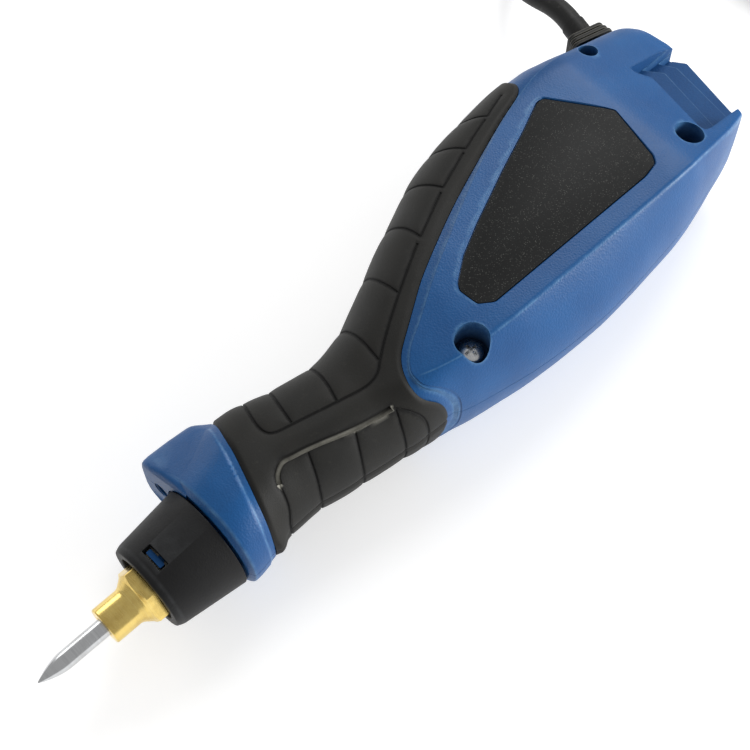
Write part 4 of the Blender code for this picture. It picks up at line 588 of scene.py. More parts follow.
def surfaceGrid(places, inset=0.0, seam=None, coarse=1.0):  # rows of points from the top round to the underside
    h = housing
    arch, corner, side, around = [max(3, int(count / coarse / fine)) for count in h["counts"]]
    top, under, width, crease, edge, flat = [column[:, None] for column in easedRows(places).T]
    yTop, yUnder = inset - top * h["top"], under * h["under"] - inset
    half = width * h["halfWidth"] - inset
    yCrease, yEdge = inset / 4 - crease * h["top"], edge * h["under"] - inset / 4

    def archPoint(t):
        turn = t * math.pi / 2
        roundZ, roundY = half * np.sin(turn), yCrease - (yCrease - yTop) * np.cos(turn)
        return roundY + (yTop + (yCrease - yTop) * t**2 - roundY) * flat, roundZ + (half * t - roundZ) * flat

    def sidePoint(t):
        return yCrease + (yEdge - yCrease) * t, half + 0 * t

    drawn = 1 - h["cornerReach"] / np.hypot(half, yCrease - yTop)
    started = h["cornerReach"] / np.abs(yEdge - yCrease)
    pieces = [archPoint(drawn * np.arange(arch)[None, :] / arch)]
    first, last = archPoint(drawn), sidePoint(started)
    t = np.arange(corner)[None, :] / corner
    bend = [first[k] * (1 - t)**2 + 2 * (yCrease, half)[k] * t * (1 - t) + last[k] * t**2 for k in (0, 1)]
    pieces.append(tuple(bend))
    pieces.append(sidePoint(started + (1 - started) * np.arange(side)[None, :] / side))
    turn = np.arange(around + 1)[None, :] / around * math.pi / 2
    power = 2 / (2 + (h["roundPower"] - 2) * flat)
    across = np.maximum(np.cos(turn), 0.0) ** power
    pieces.append((yEdge + (yUnder - yEdge) * np.sin(turn) ** power, half * across))
    y = np.concatenate([piece[0] for piece in pieces], axis=1)
    z = np.concatenate([piece[1] for piece in pieces], axis=1)
    z[:, (0, -1)] = h["seam"] if seam is None else seam
    x = np.repeat(h["front"] + places[:, None] * h["length"], y.shape[1], axis=1)
    return np.stack([x, y, z], axis=2)


def outwardOf(grid):  # the surface's normals
    normal = np.cross(np.gradient(grid, axis=0), np.gradient(grid, axis=1))
    normal[:, (0, -1), 2] = 0.0
    return normal / np.linalg.norm(normal, axis=2)[:, :, None]


def placesAlong(low=0.0, high=1.0, step=None):  # shares of the length, a step apart
    step = (step or housing["step"] * fine) / housing["length"]
    return np.linspace(low, high, max(8, round((high - low) / step)))


def halfSolid(name, grid, side):  # the surface closed by the parting plane and both ends
    rows, columns = grid.shape[:2]
    spots = grid.reshape(-1, 3) * (1, 1, side)
    index = np.arange(rows * columns).reshape(rows, columns)
    quads = np.stack([index[:-1, :-1], index[:-1, 1:], index[1:, 1:], index[1:, :-1]], axis=2).reshape(-1, 4)
    seam = np.stack([index[:-1, -1], index[:-1, 0], index[1:, 0], index[1:, -1]], axis=1)
    return addPiece(name, spots, [*quads, *seam, index[0], index[-1][::-1]])


def sideSpot(shares):  # a place on the side view, from shares of the housing
    along, height = shares
    return housing["front"] + along * housing["length"], height * housing["under" if height > 0 else "top"]


def outlineFrom(shares, rounds=2, loop=True):
    return calmLine([sideSpot(pair) for pair in shares], rounds, loop)


def rightOrLeft(side):  # what the names of a half's pieces and nodes start with
    return "right" if side > 0 else "left"


def bulk(name, side, inset, step=0.0012, coarse=1.6):  # the housing's solid below a layer of this depth
    grid = surfaceGrid(placesAlong(0.0, 0.985, step * fine), inset, -0.004, coarse)
    grid = np.concatenate([grid[:1] - (0.004, 0, 0), grid], axis=0)
    return halfSolid(name, grid, side)


def surfaceSpot(x, y):  # the point of the right half's surface that is seen at (x, y) from the side
    section = surfaceGrid(np.array([(x - housing["front"]) / housing["length"]] * 2))[0]
    widest = int(np.argmax(section[:, 1] > y)) if y < section[-1, 1] else len(section) - 1
    a, b = section[max(widest - 1, 0)], section[max(widest, 1)]
    share = min(max((y - a[1]) / max(b[1] - a[1], 1e-9), 0.0), 1.0)
    return a + (b - a) * share


# Rubber grip

rubberGrip = {
    "edge": scaled(1000, (
        (45, -1350), (47, -600), (52, -490), (59, -251), (67, -27), (79, 145), (84, 240), (94, 379),
        (100, 600), (108, 1160), (745, 1160), (742, 1020), (737, 900), (732, 830), (731, 780), (720, 722),
        (700, 690), (671, 654), (608, 558), (534, 440), (495, 368), (466, 310), (436, 250), (408, 190),
        (378, 110), (356, 52), (336, 0), (322, -75), (309, -200), (301, -354), (300, -440), (302, -525),
        (309, -595), (322, -655), (334, -715), (343, -800), (350, -1350),
    )),
    "long": scaled(1000, (
        ((148, 499), (134, 330), (124, 202), (124, 128), (132, 86), (157, 62), (219, -8), (257, -85),
         (272, -92), (286, -53), (295, 7), (325, 95), (376, 220), (445, 375)),
        ((455, 394), (490, 462), (523, 528)),
        ((531, 544), (562, 592), (591, 637)),
        ((598, 648), (626, 688), (653, 724)),
        ((660, 733), (680, 764), (703, 796)),
        ((79, -950), (79, -534), (83, -507), (89, -450), (92, -369), (94, -265), (99, -182)),
        ((266, -425), (276, -500), (286, -585), (296, -666), (299, -712), (303, -950)),
    )),
    "broad": scaled(1000, (
        ((94, -265), (99, -182), (109, -125), (118, -105), (130, -133), (150, -168), (212, -335),
         (266, -425)),
    )),
    "cross": scaled(1000, (
        ((158, 72), (163, 186), (172, 312), (184, 472)),
        ((220, 4), (229, 132), (236, 294), (248, 525)),
        ((296, 20), (298, 92), (301, 200), (303, 357), (304, 630)),
        ((377, 232), (375, 381), (377, 520), (373, 787)),
        ((455, 394), (454, 500), (449, 600), (440, 892)),
        ((531, 544), (521, 645), (512, 746), (502, 945)),
        ((598, 650), (589, 722), (578, 800), (564, 1024)),
        ((660, 733), (652, 792), (642, 840), (630, 1050)),
        ((149, -185), (139, -426), (134, -512), (122, -872)),
        ((212, -350), (203, -496), (197, -616), (190, -974)),
        ((270, -455), (263, -640), (258, -974)),
    )),
    "thick": 0.0018, "edgeRound": 0.0009, "edgeDrop": 0.00055,
    "crown": 0.00030, "crownReach": 0.0011, "seamDip": 0.00028, "seamReach": 0.0007,
    # groove radii, and how many of them a groove's centre lies under the skin
    "radii": {"long": 0.00030, "broad": 0.00070, "cross": 0.00030}, "sunk": 0.55, "grooveStep": 0.0006,
    # how far from a groove's line the painted shade reaches, then beside a broad one, and where a broad one's
    # floor gets a painted highlight
    "low": (0.00025, 0.0005), "beside": ((0.0006, 0.0009), (0.00036, 0.00055)), "dust": (0.00034, 0.00056),
    "lip": (0.0532, 0.0022, 0.0028, 0.0010),  # moulding lip on the top: place, reach along and across, height
}
gripEdge = outlineFrom(rubberGrip["edge"])


def grooveTube(line, side, radius, g):  # a round rod along a line, mostly under the skin
    route = [np.array(surfaceSpot(*spot)) for spot in line]
    steps = [0.0]
    for a, b in zip(route, route[1:]):
        steps.append(steps[-1] + float(np.linalg.norm(b - a)))
    even = np.linspace(0.0, steps[-1], max(4, round(steps[-1] / (g["grooveStep"] * fine))))
    track = np.stack([np.interp(even, steps, [p[k] for p in route]) for k in range(3)], axis=1)
    past = np.array((0.0, 0.0, -0.003))  # a line that reaches the parting plane goes on through it
    if track[-1, 2] < g["grooveStep"]:
        track = np.vstack([track, track[-1] + past])
    if track[0, 2] < g["grooveStep"]:
        track = np.vstack([track[0] + past, track])
    run = np.gradient(track, axis=0)
    run /= np.linalg.norm(run, axis=1)[:, None]
    radial = track * (0.0, 0.75, 1.0)
    out = radial - np.sum(radial * run, axis=1)[:, None] * run
    out /= np.linalg.norm(out, axis=1)[:, None]
    rings, around = [], turns(10 if fine == 1.0 else 6)
    for centre, up, over in zip(track - out * (radius * g["sunk"]), out, np.cross(run, out)):
        ring = [centre + (up * math.cos(t) + over * math.sin(t)) * radius for t in around]
        rings.append([(x, y, z * side) for x, y, z in ring])
    return stack("groove", rings)


def makeGrip(g, side):
    grid = surfaceGrid(placesAlong(0.035, 0.775))
    flat = grid[:, :, :2].reshape(-1, 2)
    lines = [(outlineFrom(shares, 1 if kind == "cross" else 2, False), kind)
             for kind in g["radii"] for shares in g[kind]]
    inner = np.maximum(insideBy(flat, gripEdge), 0.0)
    drop = g["edgeDrop"] * (1 - climb(inner, 0.0, g["edgeRound"]))
    near = np.min([lineDistance(flat, line) for line, kind in lines], axis=0)
    drop += g["crown"] * np.exp(-near / g["crownReach"])
    across = grid[:, :, 2].ravel()
    drop += g["seamDip"] * (1 - climb(across, 0.0, g["seamReach"]))
    at, along, wide, high = g["lip"]
    drop -= high * np.exp(-((flat[:, 0] - at) / along)**2 - (across / wide)**2) * (flat[:, 1] < 0)
    outer = grid - outwardOf(grid) * drop.reshape(grid.shape[:2])[:, :, None]
    piece = halfSolid(f"{rightOrLeft(side)}Grip", outer, side)
    carve(piece, bulk("gripBed", side, g["thick"]))
    carve(piece, upright("gripZone", gripEdge, -0.03, 0.03), "INTERSECT")
    for line, kind in lines:
        even, knots = np.linspace(0, 1, 160), np.linspace(0, 1, len(line))
        dense = np.stack([np.interp(even, knots, line[:, k]) for k in (0, 1)], 1)
        carve(piece, grooveTube(dense, side, g["radii"][kind], g))
    spots = points(piece)[:, :2].astype(float)
    away = {True: [], False: []}
    for line, kind in lines:
        away[kind == "broad"].append(lineDistance(spots, line))
    thin, wide = np.min(away[False], axis=0), np.min(away[True], axis=0)
    outside, inside = g["beside"]
    beside = (1 - climb(wide, *outside)) * climb(wide, *inside)
    # painted shade along and beside the grooves
    setMark(piece, "low", np.maximum(1 - climb(thin, *g["low"]), beside))
    # painted highlight on the floors of the broad grooves
    setMark(piece, "dust", 1 - climb(wide, *g["dust"]))
    return dress(piece, "rubber", "housing", [f"{rightOrLeft(side)}_grip"], 38.0)


for side in (1, -1):
    grip = makeGrip(rubberGrip, side)
    print("grip made:", grip.name, len(grip.data.polygons))


# Blue shells

blueShell = {
    "inset": 0.0043, "frontWall": 0.0022, "cavityEnd": 0.8673,
    "bedDepth": 0.0021, "bedGap": 0.00012,
    "ledge": ((0.00070, 0.0), (0.00022, 0.00035)),  # depth and width, then those of a shallow lip
    "ledgeFrom": 0.075, "frontChamfer": (0.0010, 0.0015), "rearChamfer": (0.0006, 0.2041, 0.2050),
    "ridge": (0.00028, 0.0015, 0.0018), "ridgeTo": 0.0660,
    # the raised panel's front and lower edge, seen from the side
    "panel": scaled(10000, (
        (1900, 292), (1780, 290), (1700, 289), (1652, 283), (1605, 271), (1550, 255), (1483, 233),
        (1373, 187), (1285, 145), (1209, 106), (1142, 72), (1089, 42), (1028, 6), (984, -15), (958, -37),
        (940, -60), (938, -81), (944, -101), (971, -121), (995, -136), (1008, -147), (1010, -160),
        (1005, -260), (2200, -260), (2200, 292),
    )),
    # place along and across, height of the seat and radius of the hole
    "screws": ((0.397, -0.510, 0.56, 0.0038), (0.846, -0.278, 0.30, 0.0034), (0.852, 0.684, 0.30, 0.0023)),
    "bossWall": 0.0012, "pilotBoss": 0.0036, "shank": 0.0017, "bossSunk": 0.0004,
    "beyond": 0.0195, "behind": 0.2150,  # where tools end, beside the shell and behind it
    "sleeve": (0.0342, 0.0444, 0.0086, 0.0076),
    # the chin under the collar that holds the lamp: half of its section as (z, y),
    # and along it the place, how far it is drawn in and its depth
    "chin": ((0.00008, 0.0060), (0.0125, 0.0060), (0.0116, 0.0095), (0.0098, 0.0140), (0.0081, 0.0176),
             (0.0069, 0.0195), (0.0062, 0.0203), (0.0053, 0.0208), (0.0040, 0.0211), (0.00008, 0.0212)),
    "chinAlong": scaled(10000, (
        (440, 11, 208), (441, 7, 208), (444, 3, 208), (450, 1, 208), (462, 0, 208), (505, 0, 206),
        (550, 0, 202), (558, 0, 200), (566, 0, 195), (584, 0, 180), (610, 0, 160),
    )),
    "chinLean": 0.0010, "chinSlim": 0.09, "chinBack": (0.0450, 0.0530), "coneRoom": (0.01225, 0.04402, 0.0004),
    "lampBore": (0.0147, 0.0019, 0.0506),  # its drop, radius and rear end
    # the catch and the tab in the cone's window: front, rear, half width, and from where to where outward
    "catch": (0.0351, 0.0367, 0.0016, 0.0074, 0.0088), "catchRound": 0.0003,
    "tab": (0.0310, 0.0322, 0.0022, 0.00868, 0.0096), "tabRound": 0.0002, "tabDrop": 0.0005,
    "tabStrip": (0.0318, 0.0352, 0.0008, 0.00884), "tabRoot": (0.0007, 0.0080),
    # rear notch: its outline on the side, then those of the steps, each with the height it reaches down to
    "notch": scaled(10000, (
        (80, ((1852, 165), (1849, 150), (1871, 114), (1838, -54), (1843, -68), (1861, -71), (1970, -64),
         (2150, -64), (2150, 165))),
        (50, ((1902, 165), (1935, 123), (1903, -52), (1905, -68), (2150, -64), (2150, 165))),
        (20, ((1964, 165), (1988, 128), (1965, -43), (1968, -66), (2150, -64), (2150, 165))),
        (-20, ((2012, 165), (2036, 132), (2004, -31), (2002, -65), (2150, -64), (2150, 165))),
    )),
    "notchRim": (0.00025, 0.0001), "notchRound": 0.0004,
    "rearCuts": scaled(10000, (
        ((1972, -60), (1956, -112), (2150, -112), (2150, -60)),
        ((1950, 300), (1985, 276), (1995, 262), (1997, 250), (2004, 217), (2014, 183), (2012, 160),
         (2150, 160), (2150, 400), (1950, 400)),
    )),
    "plate": scaled(1000, (
        (733, 583), (783, 286), (790, 236), (771, -246), (764, -333), (739, -374), (456, -359),
        (438, -251), (435, -15), (441, 34), (476, 138), (524, 236), (610, 391), (671, 493), (723, 588),
    )),
    "plateRecess": 0.0009, "plateEdge": 0.00025, "plateRound": 0.0006, "plateFlare": (0.00022, 0.9),
    "plateLine": ((-0.0007, 0.0007), 0.00014),  # a fine step beside the plate: how far over, and its depth
    "dial": (0.510, 0.050), "dialRecess": (0.0083, 0.0143), "hubHole": 0.0033,
    "switch": (0.640, 0.420), "switchHalf": (0.0078, 0.0048),
    "switchRound": 0.0008,
    "exit": (0.19196, 0.03314), "exitLean": math.radians(14), "gland": (0.0039, -0.0165, 0.003),
    # how far the painted highlights along edges reach, on the shell and round the notch's steps
    "edgeHighlight": (0.00008, 0.00034), "rimHighlight": (0.00005, 0.00020),
    # where painted shade darkens the notch and the tabs, and by how much
    "notchPaintedShade": (0.0160, 0.18, 0.22), "tabPaintedShade": (0.0330, 0.0085, 0.50),
}
panelEdge = calmLine(blueShell["panel"])


def exitSpot(across, out, z):  # a place on the leaning axis of the cord's exit
    (x, y), lean = blueShell["exit"], blueShell["exitLean"]
    c, s = math.cos(lean), math.sin(lean)
    return x + across * c + out * s, y - across * s + out * c, z


def screwSpots(s):  # place on the side, height of the seat and radius of the hole
    return [(sideSpot(spot), seat * housing["halfWidth"], mouth) for *spot, seat, mouth in s["screws"]]


def shellSurface(s):
    grid = surfaceGrid(placesAlong())
    flat = grid[:, :, :2].reshape(-1, 2)
    deep, wide = s["frontChamfer"]
    drop = deep * np.clip(1 - (flat[:, 0] - housing["front"]) / wide, 0.0, 1.0)
    deep, low, high = s["ridge"]
    away = -insideBy(flat, gripEdge)
    drop += deep * (1 - climb(away, low, high)) * (flat[:, 0] < s["ridgeTo"])
    deep, low, high = s["rearChamfer"]
    drop += deep * climb(flat[:, 0], low, high)
    return grid - outwardOf(grid) * drop.reshape(grid.shape[:2])[:, :, None]


def lightHousing(s, side):
    floorAt, deepest = s["chin"][0][1], s["chin"][-1][1]
    rings = []
    for x, drawn, deep in s["chinAlong"]:
        back = climb(x, *s["chinBack"])
        ring = []
        for z, y in s["chin"]:
            lean = s["chinLean"] * climb(y, 0.0110, 0.0190) * (1 - back)
            slim = 1 - s["chinSlim"] * (1 - climb(y, 0.0080, 0.0175)) * (1 - back)
            y -= drawn * climb(y, 0.0080, 0.0200)
            ring.append((x - lean, floorAt + (y - floorAt) * (deep - floorAt) / (deepest - floorAt),
                         side * max(z * slim - drawn * z / 0.0125, z if z < 0.001 else 0.0)))
        rings.append(ring)
    piece = stack("lightHousing", rings)
    carve(piece, bulk("chinFloor", side, 0.0022))
    radius, rear, over = s["coneRoom"]
    return carve(piece, lathe("coneRoom", [(0.038, radius), (rear, radius)], 128, (over, 0.0)))


def shellBody(s, side):  # hollow, with the ledge round the panel and the rubber's bed
    piece = halfSolid(f"{rightOrLeft(side)}Shell", shellSurface(s), side)
    inside = placesAlong(s["frontWall"] / housing["length"], s["cavityEnd"], 0.0025)
    carve(piece, halfSolid("hollow", surfaceGrid(inside, s["inset"], -0.002, 2.5), side))
    carve(piece, lightHousing(s, side), "UNION")
    for depth, reach in s["ledge"]:
        cut = upright("ledge", oblong(s["ledgeFrom"], s["behind"], -0.04, 0.05), -0.001, 0.03, side)
        carve(cut, upright("panel", spreadOutline(panelEdge, -reach) if reach else panelEdge, -0.04, 0.04))
        carve(piece, carve(cut, bulk("ledgeFloor", side, depth, 0.0006, 1.0)))
    zone = spreadOutline(gripEdge, s["bedGap"])
    return carve(piece, carve(upright("rubberBed", zone, -0.03, 0.03), bulk("bedFloor", side, s["bedDepth"])))


def noseSleeve(s, side):  # half of the bush's sleeve, with the catch and the tab
    front, rear, outer, inner = s["sleeve"]
    sleeve = lathe("sleeve", [(front, inner), (front, outer), (rear, outer), (rear, inner)], tube=True)
    x0, x1, half, low, high = s["catch"]
    catch = roundedOutline(oblong(x0, x1, -half, half), s["catchRound"])
    carve(sleeve, upright("catch", catch, low, high, side), "UNION")
    (x0, x1, half, low, high), drop = s["tab"], s["tabDrop"]
    tab = roundedOutline(oblong(x0, x1, drop - half, drop + half), s["tabRound"])
    tab = upright("tab", tab, low, high, side)
    (x0, x1, half, high), (long, root) = s["tabStrip"], s["tabRoot"]
    carve(tab, upright("strip", oblong(x0, x1, -half, half), low, high, side), "UNION")
    carve(tab, upright("root", oblong(x1 - long, x1, -half, half), root, high, side), "UNION")
    carve(sleeve, tab, "UNION")
    return carve(sleeve, upright("otherHalf", oblong(0.0, 0.1, -0.05, 0.05), -0.05, housing["seam"], side))


def addBosses(s, side, piece):
    for place, seat, mouth in screwSpots(s):
        boss = upright("boss", disc(place, s["pilotBoss"]), 0.0003, s["beyond"], side)
        if side > 0:
            around = disc(place, mouth + s["bossWall"])
            carve(boss, upright("bossTop", around, seat - 0.0014, s["beyond"]), "UNION")
        carve(piece, carve(boss, bulk("bossLimit", side, s["bossSunk"]), "INTERSECT"), "UNION")


def boreHoles(s, side, piece):  # for the nose, the lamp, the screws and the cord
    bore = s["sleeve"][3]
    carve(piece, lathe("noseBore", [(0.032, bore), (0.0485, bore)]))
    y, radius, rear = s["lampBore"]
    profile = [(0.041, radius + 0.00025), (0.0434, radius + 0.00025), (0.0436, radius), (rear, radius)]
    carve(piece, lathe("lampBore", profile, 48, (y, 0.0)))
    for place, seat, mouth in screwSpots(s):
        if side > 0:
            carve(piece, upright("mouth", disc(place, mouth, 72), seat, s["beyond"]))
        low, high = (-0.0005, seat + 0.0001) if side > 0 else (-0.0050, 0.0005)
        carve(piece, upright("shankHole", disc(place, s["shank"], 32), low, high))
    radius, low, high = s["gland"]
    around = disc((0.0, 0.0), radius)
    carve(piece, stack("gland", [[exitSpot(a, out, b) for a, b in around] for out in (low, high)]))


def cutRear(s, side, piece):  # the stepped notch and the cut corners
    outer, (over, depth) = s["beyond"], s["notchRim"]
    for number, (inner, outline) in enumerate(s["notch"]):
        shape = roundedOutline(outline, s["notchRound"])
        if number:
            carve(piece, upright("notchRim", spreadOutline(shape, over), outer - depth, outer + depth, side))
        carve(piece, upright("notch", shape, inner, outer, side))
        outer = inner
    for outline in s["rearCuts"]:
        carve(piece, upright("rearCut", outline, -0.002, s["beyond"], side))


def plateStep(s):  # where the fine step beside the plate runs
    over = s["plateLine"][0]
    return roundedOutline([tuple(np.add(sideSpot(p), over)) for p in s["plate"]], s["plateRound"])


def cutPanel(s, side, piece):  # for the plate on the right, for the dial and the switch on the left
    height = housing["halfWidth"]
    if side > 0:
        carve(piece, upright("plateLine", plateStep(s), height - s["plateLine"][1], height + 0.001))
        outline = spreadOutline([sideSpot(p) for p in s["plate"]], s["plateEdge"])
        low, top, (edge, flare) = height - s["plateRecess"], height + 0.001, s["plateFlare"]
        layers = (low, 0.0), (height - edge, 0.0), (top, (top - (height - edge)) * flare)
        carve(piece, layered("plateRecess", roundedOutline(outline, s["plateRound"]), layers))
        return
    place, (radius, depth) = sideSpot(s["dial"]), s["dialRecess"]
    carve(piece, upright("dialRecess", disc(place, radius, 96), depth, s["beyond"], side))
    carve(piece, upright("hubHole", disc(place, s["hubHole"]), 0.008, s["beyond"], side))
    (x, y), (a, b) = sideSpot(s["switch"]), s["switchHalf"]
    opening = roundedOutline(oblong(x - a, x + a, y - b, y + b), s["switchRound"])
    carve(piece, upright("switchOpening", opening, 0.008, s["beyond"], side))


def markShell(s, side, piece):  # painted highlights along edges, and painted shade in the holes, the notch and the tabs
    spots, half = points(piece).astype(float), housing["halfWidth"]
    flat, x, depth = spots[:, :2], spots[:, 0], np.abs(spots[:, 2])
    rows = easedRows(np.clip((x - housing["front"]) / housing["length"], 0, 1))
    crease = np.abs(flat[:, 1] + rows[:, 3] * housing["top"])
    crease = np.where(depth > rows[:, 2] * half - 0.002, crease, 1.0) / np.maximum(rows[:, 5], 0.05)
    chamfer = np.abs(x - housing["front"] - s["frontChamfer"][1])
    ridge = np.where(x < s["ridgeTo"], np.abs(insideBy(flat, gripEdge) + s["ridge"][1]), 1.0)
    near = [crease, chamfer, ridge, lineDistance(flat, panelEdge, True)]
    y, radius, rear = s["lampBore"]
    # painted shade inside the lamp's bore and, on the right, inside the screw holes
    deep = (np.hypot(flat[:, 1] - y, spots[:, 2]) < radius + 0.0004) & (x > 0.0446) & (x < rear + 0.001)
    if side > 0:
        near.append(lineDistance(flat, plateStep(s), True))
        for place, seat, mouth in screwSpots(s):
            away = np.linalg.norm(flat - place, axis=1)
            near.append(np.abs(away - mouth))
            deep |= (away < mouth + 0.00005) & (depth < seat + 0.0002)
    # painted highlight within reach of all these edges, and round the rims of the notch's steps below
    marks, level = 1 - climb(np.min(near, axis=0), *s["edgeHighlight"]), half
    for inner, outline in s["notch"]:
        reach = 0.0025 if level == half else 0.00015
        rim = lineDistance(flat, roundedOutline(outline, s["notchRound"]), True)
        rim = np.where(np.abs(depth - level) < reach, rim, 1.0)
        marks, level = np.maximum(marks, 1 - climb(rim, *s["rimHighlight"])), inner
    setMark(piece, "edge", marks)
    # painted shade on the notch's floors and over the nose tabs
    below, behind, shade = s["notchPaintedShade"]
    sunk = (insideBy(flat, s["notch"][0][1]) > -0.0001) & (depth < below) & (x > behind)
    before, above, tabShade = s["tabPaintedShade"]
    tabs = (x < before) & (depth > above)
    setMark(piece, "deep", np.max([deep * 1.0, sunk * shade, tabs * tabShade], axis=0))


def makeShell(s, side):
    piece = shellBody(s, side)
    carve(piece, noseSleeve(s, side), "UNION")
    addBosses(s, side, piece)
    boreHoles(s, side, piece)
    cutRear(s, side, piece)
    cutPanel(s, side, piece)
    markShell(s, side, piece)
    return dress(piece, "blue", "housing", [f"{rightOrLeft(side)}_shell"], 34.0)


for side in (1, -1):
    shell = makeShell(blueShell, side)
    print("shell made:", shell.name, len(shell.data.polygons))


# Nose cone, nut, stylus

noseCone = {
    "front": 0.0275, "rear": 0.0438, "mouth": 0.0076, "frontRadius": 0.0099, "rearRadius": 0.01195,
    "over": 0.0004, "bore": 0.0089, "boreFrom": 0.0316,
    "window": (0.0305, 0.0327, -0.0024, 0.0034), "windowRound": 0.0002,
    "rounds": (0.0003, 0.0003, 0.0005, 0.0003, 0.0002, 0.0, 0.0002),
}


def makeCone(c):
    front, rear, bore, mouth = c["front"], c["rear"], c["bore"], c["mouth"]
    profile = [(front, mouth), (front, c["frontRadius"] - 0.0003), (front + 0.0014, c["frontRadius"] + 0.0003),
               (rear, c["rearRadius"]), (rear, bore), (c["boreFrom"], bore), (c["boreFrom"], mouth)]
    piece = lathe("noseCone", softProfile(profile, c["rounds"], False), 128, (c["over"], 0.0), tube=True)
    x0, x1, y0, y1 = c["window"]
    carve(piece, upright("windows", roundedOutline(oblong(x0, x1, y0, y1), c["windowRound"]), -0.02, 0.02))
    x, y, _ = points(piece).T
    rim = np.abs(x - front - 0.0013)
    around = np.maximum(np.abs(x - (x0 + x1) / 2) - (x1 - x0) / 2, np.abs(y - (y0 + y1) / 2) - (y1 - y0) / 2)
    # painted highlight along the front rim and round the windows
    setMark(piece, "edge", 1 - climb(np.minimum(rim, np.abs(around)), 0.0001, 0.0006))
    return dress(piece, "cone", "housing", ["nose_cone"], 36.0)


colletNut = {
    "front": 0.0165, "neck": 0.0064, "taper": 0.0020, "flange": 0.0036, "neckRadius": 0.0042,
    "corner": 0.0068, "hole": 0.0023, "frontWall": 0.0014, "bore": 0.0034,
    "rounds": (0.0002, 0.0004, 0.0006, 0.0002, 0.0002, 0.0002, 0.0001, 0.0002, 0.0, 0.0),
}


def makeNut(n):
    front, corner, neck = n["front"], n["corner"], n["front"] + n["neck"]
    shoulder, rear, wall = neck + n["taper"], neck + n["taper"] + n["flange"], front + n["frontWall"]
    profile = [(front, n["hole"]), (front, n["neckRadius"]), (neck, n["neckRadius"]),
               (shoulder - 0.0002, corner - 0.0012), (shoulder + 0.0006, corner), (rear - 0.0005, corner),
               (rear, corner - 0.0006), (rear, n["bore"]), (wall, n["bore"]), (wall, n["hole"])]
    piece = lathe("colletNut", softProfile(profile, n["rounds"], False), 144, tube=True)
    hexagon = roundedOutline(disc((0.0, 0.0), corner, 6), 0.0003)
    flats = [[(x, *spot) for spot in hexagon] for x in (front - 0.002, rear + 0.002)]
    carve(piece, stack("flats", flats), "INTERSECT")
    return dress(piece, "brass", "nut", ["collet_nut"], 24.0)


stylus = {"radius": 0.0020, "point": 0.0068, "tip": 0.0002, "length": 0.0430}


def makeStylus(s):
    r, tip, start = s["radius"], s["tip"], s["tip"] * 1.15
    profile = [(0.0, 0.00004), (tip * 0.35, tip * 0.75), (tip, start)]
    for t in (0.06, 0.14, 0.24, 0.36, 0.50, 0.64, 0.78, 0.90, 0.98):  # the point swells as it leaves the tip
        profile.append((tip + (s["point"] - tip) * t, start + (r - start) * (1 - (1 - t)**1.8)))
    profile += [(s["point"] + 0.0002, r), (s["length"] - 0.0003, r), (s["length"], r - 0.0003)]
    return dress(lathe("stylus", profile, 72), "steel", "stylus", ["stylus"], 40.0)


for piece in (makeCone(noseCone), makeNut(colletNut), makeStylus(stylus)):
    print("nose piece made:", piece.name)


# Plate, lamp, screws

def makePlate(s):
    outline = roundedOutline([sideSpot(p) for p in s["plate"]], s["plateRound"])
    low = housing["halfWidth"] - s["plateRecess"] + 0.0001
    layers = (low, 0.0), (low + 0.00045, 0.0), (low + 0.00058, -0.00005), (low + 0.00064, -0.00018)
    piece = layered("ratingPlate", outline, layers)
    # painted highlight along the plate's edge
    away = lineDistance(points(piece)[:, :2].astype(float), outline, True)
    setMark(piece, "edge", 1 - climb(away, 0.0, 0.0003))
    return dress(piece, "plate", "housing", ["rating_plate"], 30.0)


lamp = {"front": 0.0451, "length": 0.0052, "radius": 0.0015, "rim": 0.0016, "drop": 0.0147}


def makeLamp(m):
    r, rim, front, rear = m["radius"], m["rim"], m["front"], m["front"] + m["length"]
    dome = [(front + r * (1 - math.cos(t)), r * math.sin(t) + 0.00001) for t in quarter(10)]
    profile = [*dome, (rear - 0.001, r), (rear - 0.00095, rim), (rear - 0.0001, rim), (rear, rim - 0.0001)]
    piece = lathe("workLamp", profile, 48, (m["drop"], 0.0))
    return dress(piece, "lamp", "housing", ["work_light"], 60.0)


screw = {
    "head": 0.0028, "headHigh": 0.0020, "shank": 0.0014, "shankLong": 0.0110,
    "slot": (0.0017, 0.0004), "deep": 0.0011,
}


def makeScrew(m, number, place, seat, mouth):
    (x, y), base, head = place, seat + 0.0003, min(m["head"], mouth - 0.0003)
    shank, end = m["shank"], base - m["shankLong"]
    dome = [(base + m["headHigh"] * (0.42 + 0.58 * math.sin(t)), head * math.cos(t) ** 0.8)
            for t in quarter(9)[:-1]]
    profile = [(end, shank - 0.0002), (end + 0.0004, shank), (base, shank), (base, head - 0.0001),
               (base + 0.0001, head), *dome, (base + m["headHigh"], 0.00001)]
    piece = lathe(f"caseScrew{number}", profile, 64)
    piece.data.transform(Matrix.Translation((x, y, 0.0)) @ Matrix.Rotation(-math.pi / 2, 4, "Y"))
    top, (long, thin) = base + m["headHigh"], m["slot"]
    for a, b in ((long, thin), (thin, long)):  # narrower at the bottom
        slot = [[(*spot, z) for spot in oblong(x - a * w, x + a * w, y - b * w, y + b * w)]
                for z, w in ((top - m["deep"], 0.62), (top + 0.0004, 1.05))]
        carve(piece, stack("slot", slot))
    return dress(piece, "screwSteel", "housing", [f"case_screw_{number}"], 36.0)


makePlate(blueShell)
makeLamp(lamp)
for number, spot in enumerate(screwSpots(blueShell), 1):
    makeScrew(screw, number, *spot)
print("plate, lamp and screws made")


# Strain relief, tie, plug

relief = {
    "inside": -0.0135, "outside": -0.0006, "core": 0.0034, "rings": 3, "thick": 0.0010, "groove": 0.0004,
    "long": 0.0055, "wide": 0.0045, "taper": 0.0003, "corner": 0.0017, "round": 0.00022,
    "neck": (0.0004, 0.0078),  # how much slimmer than the core, and where it ends round the cord
}


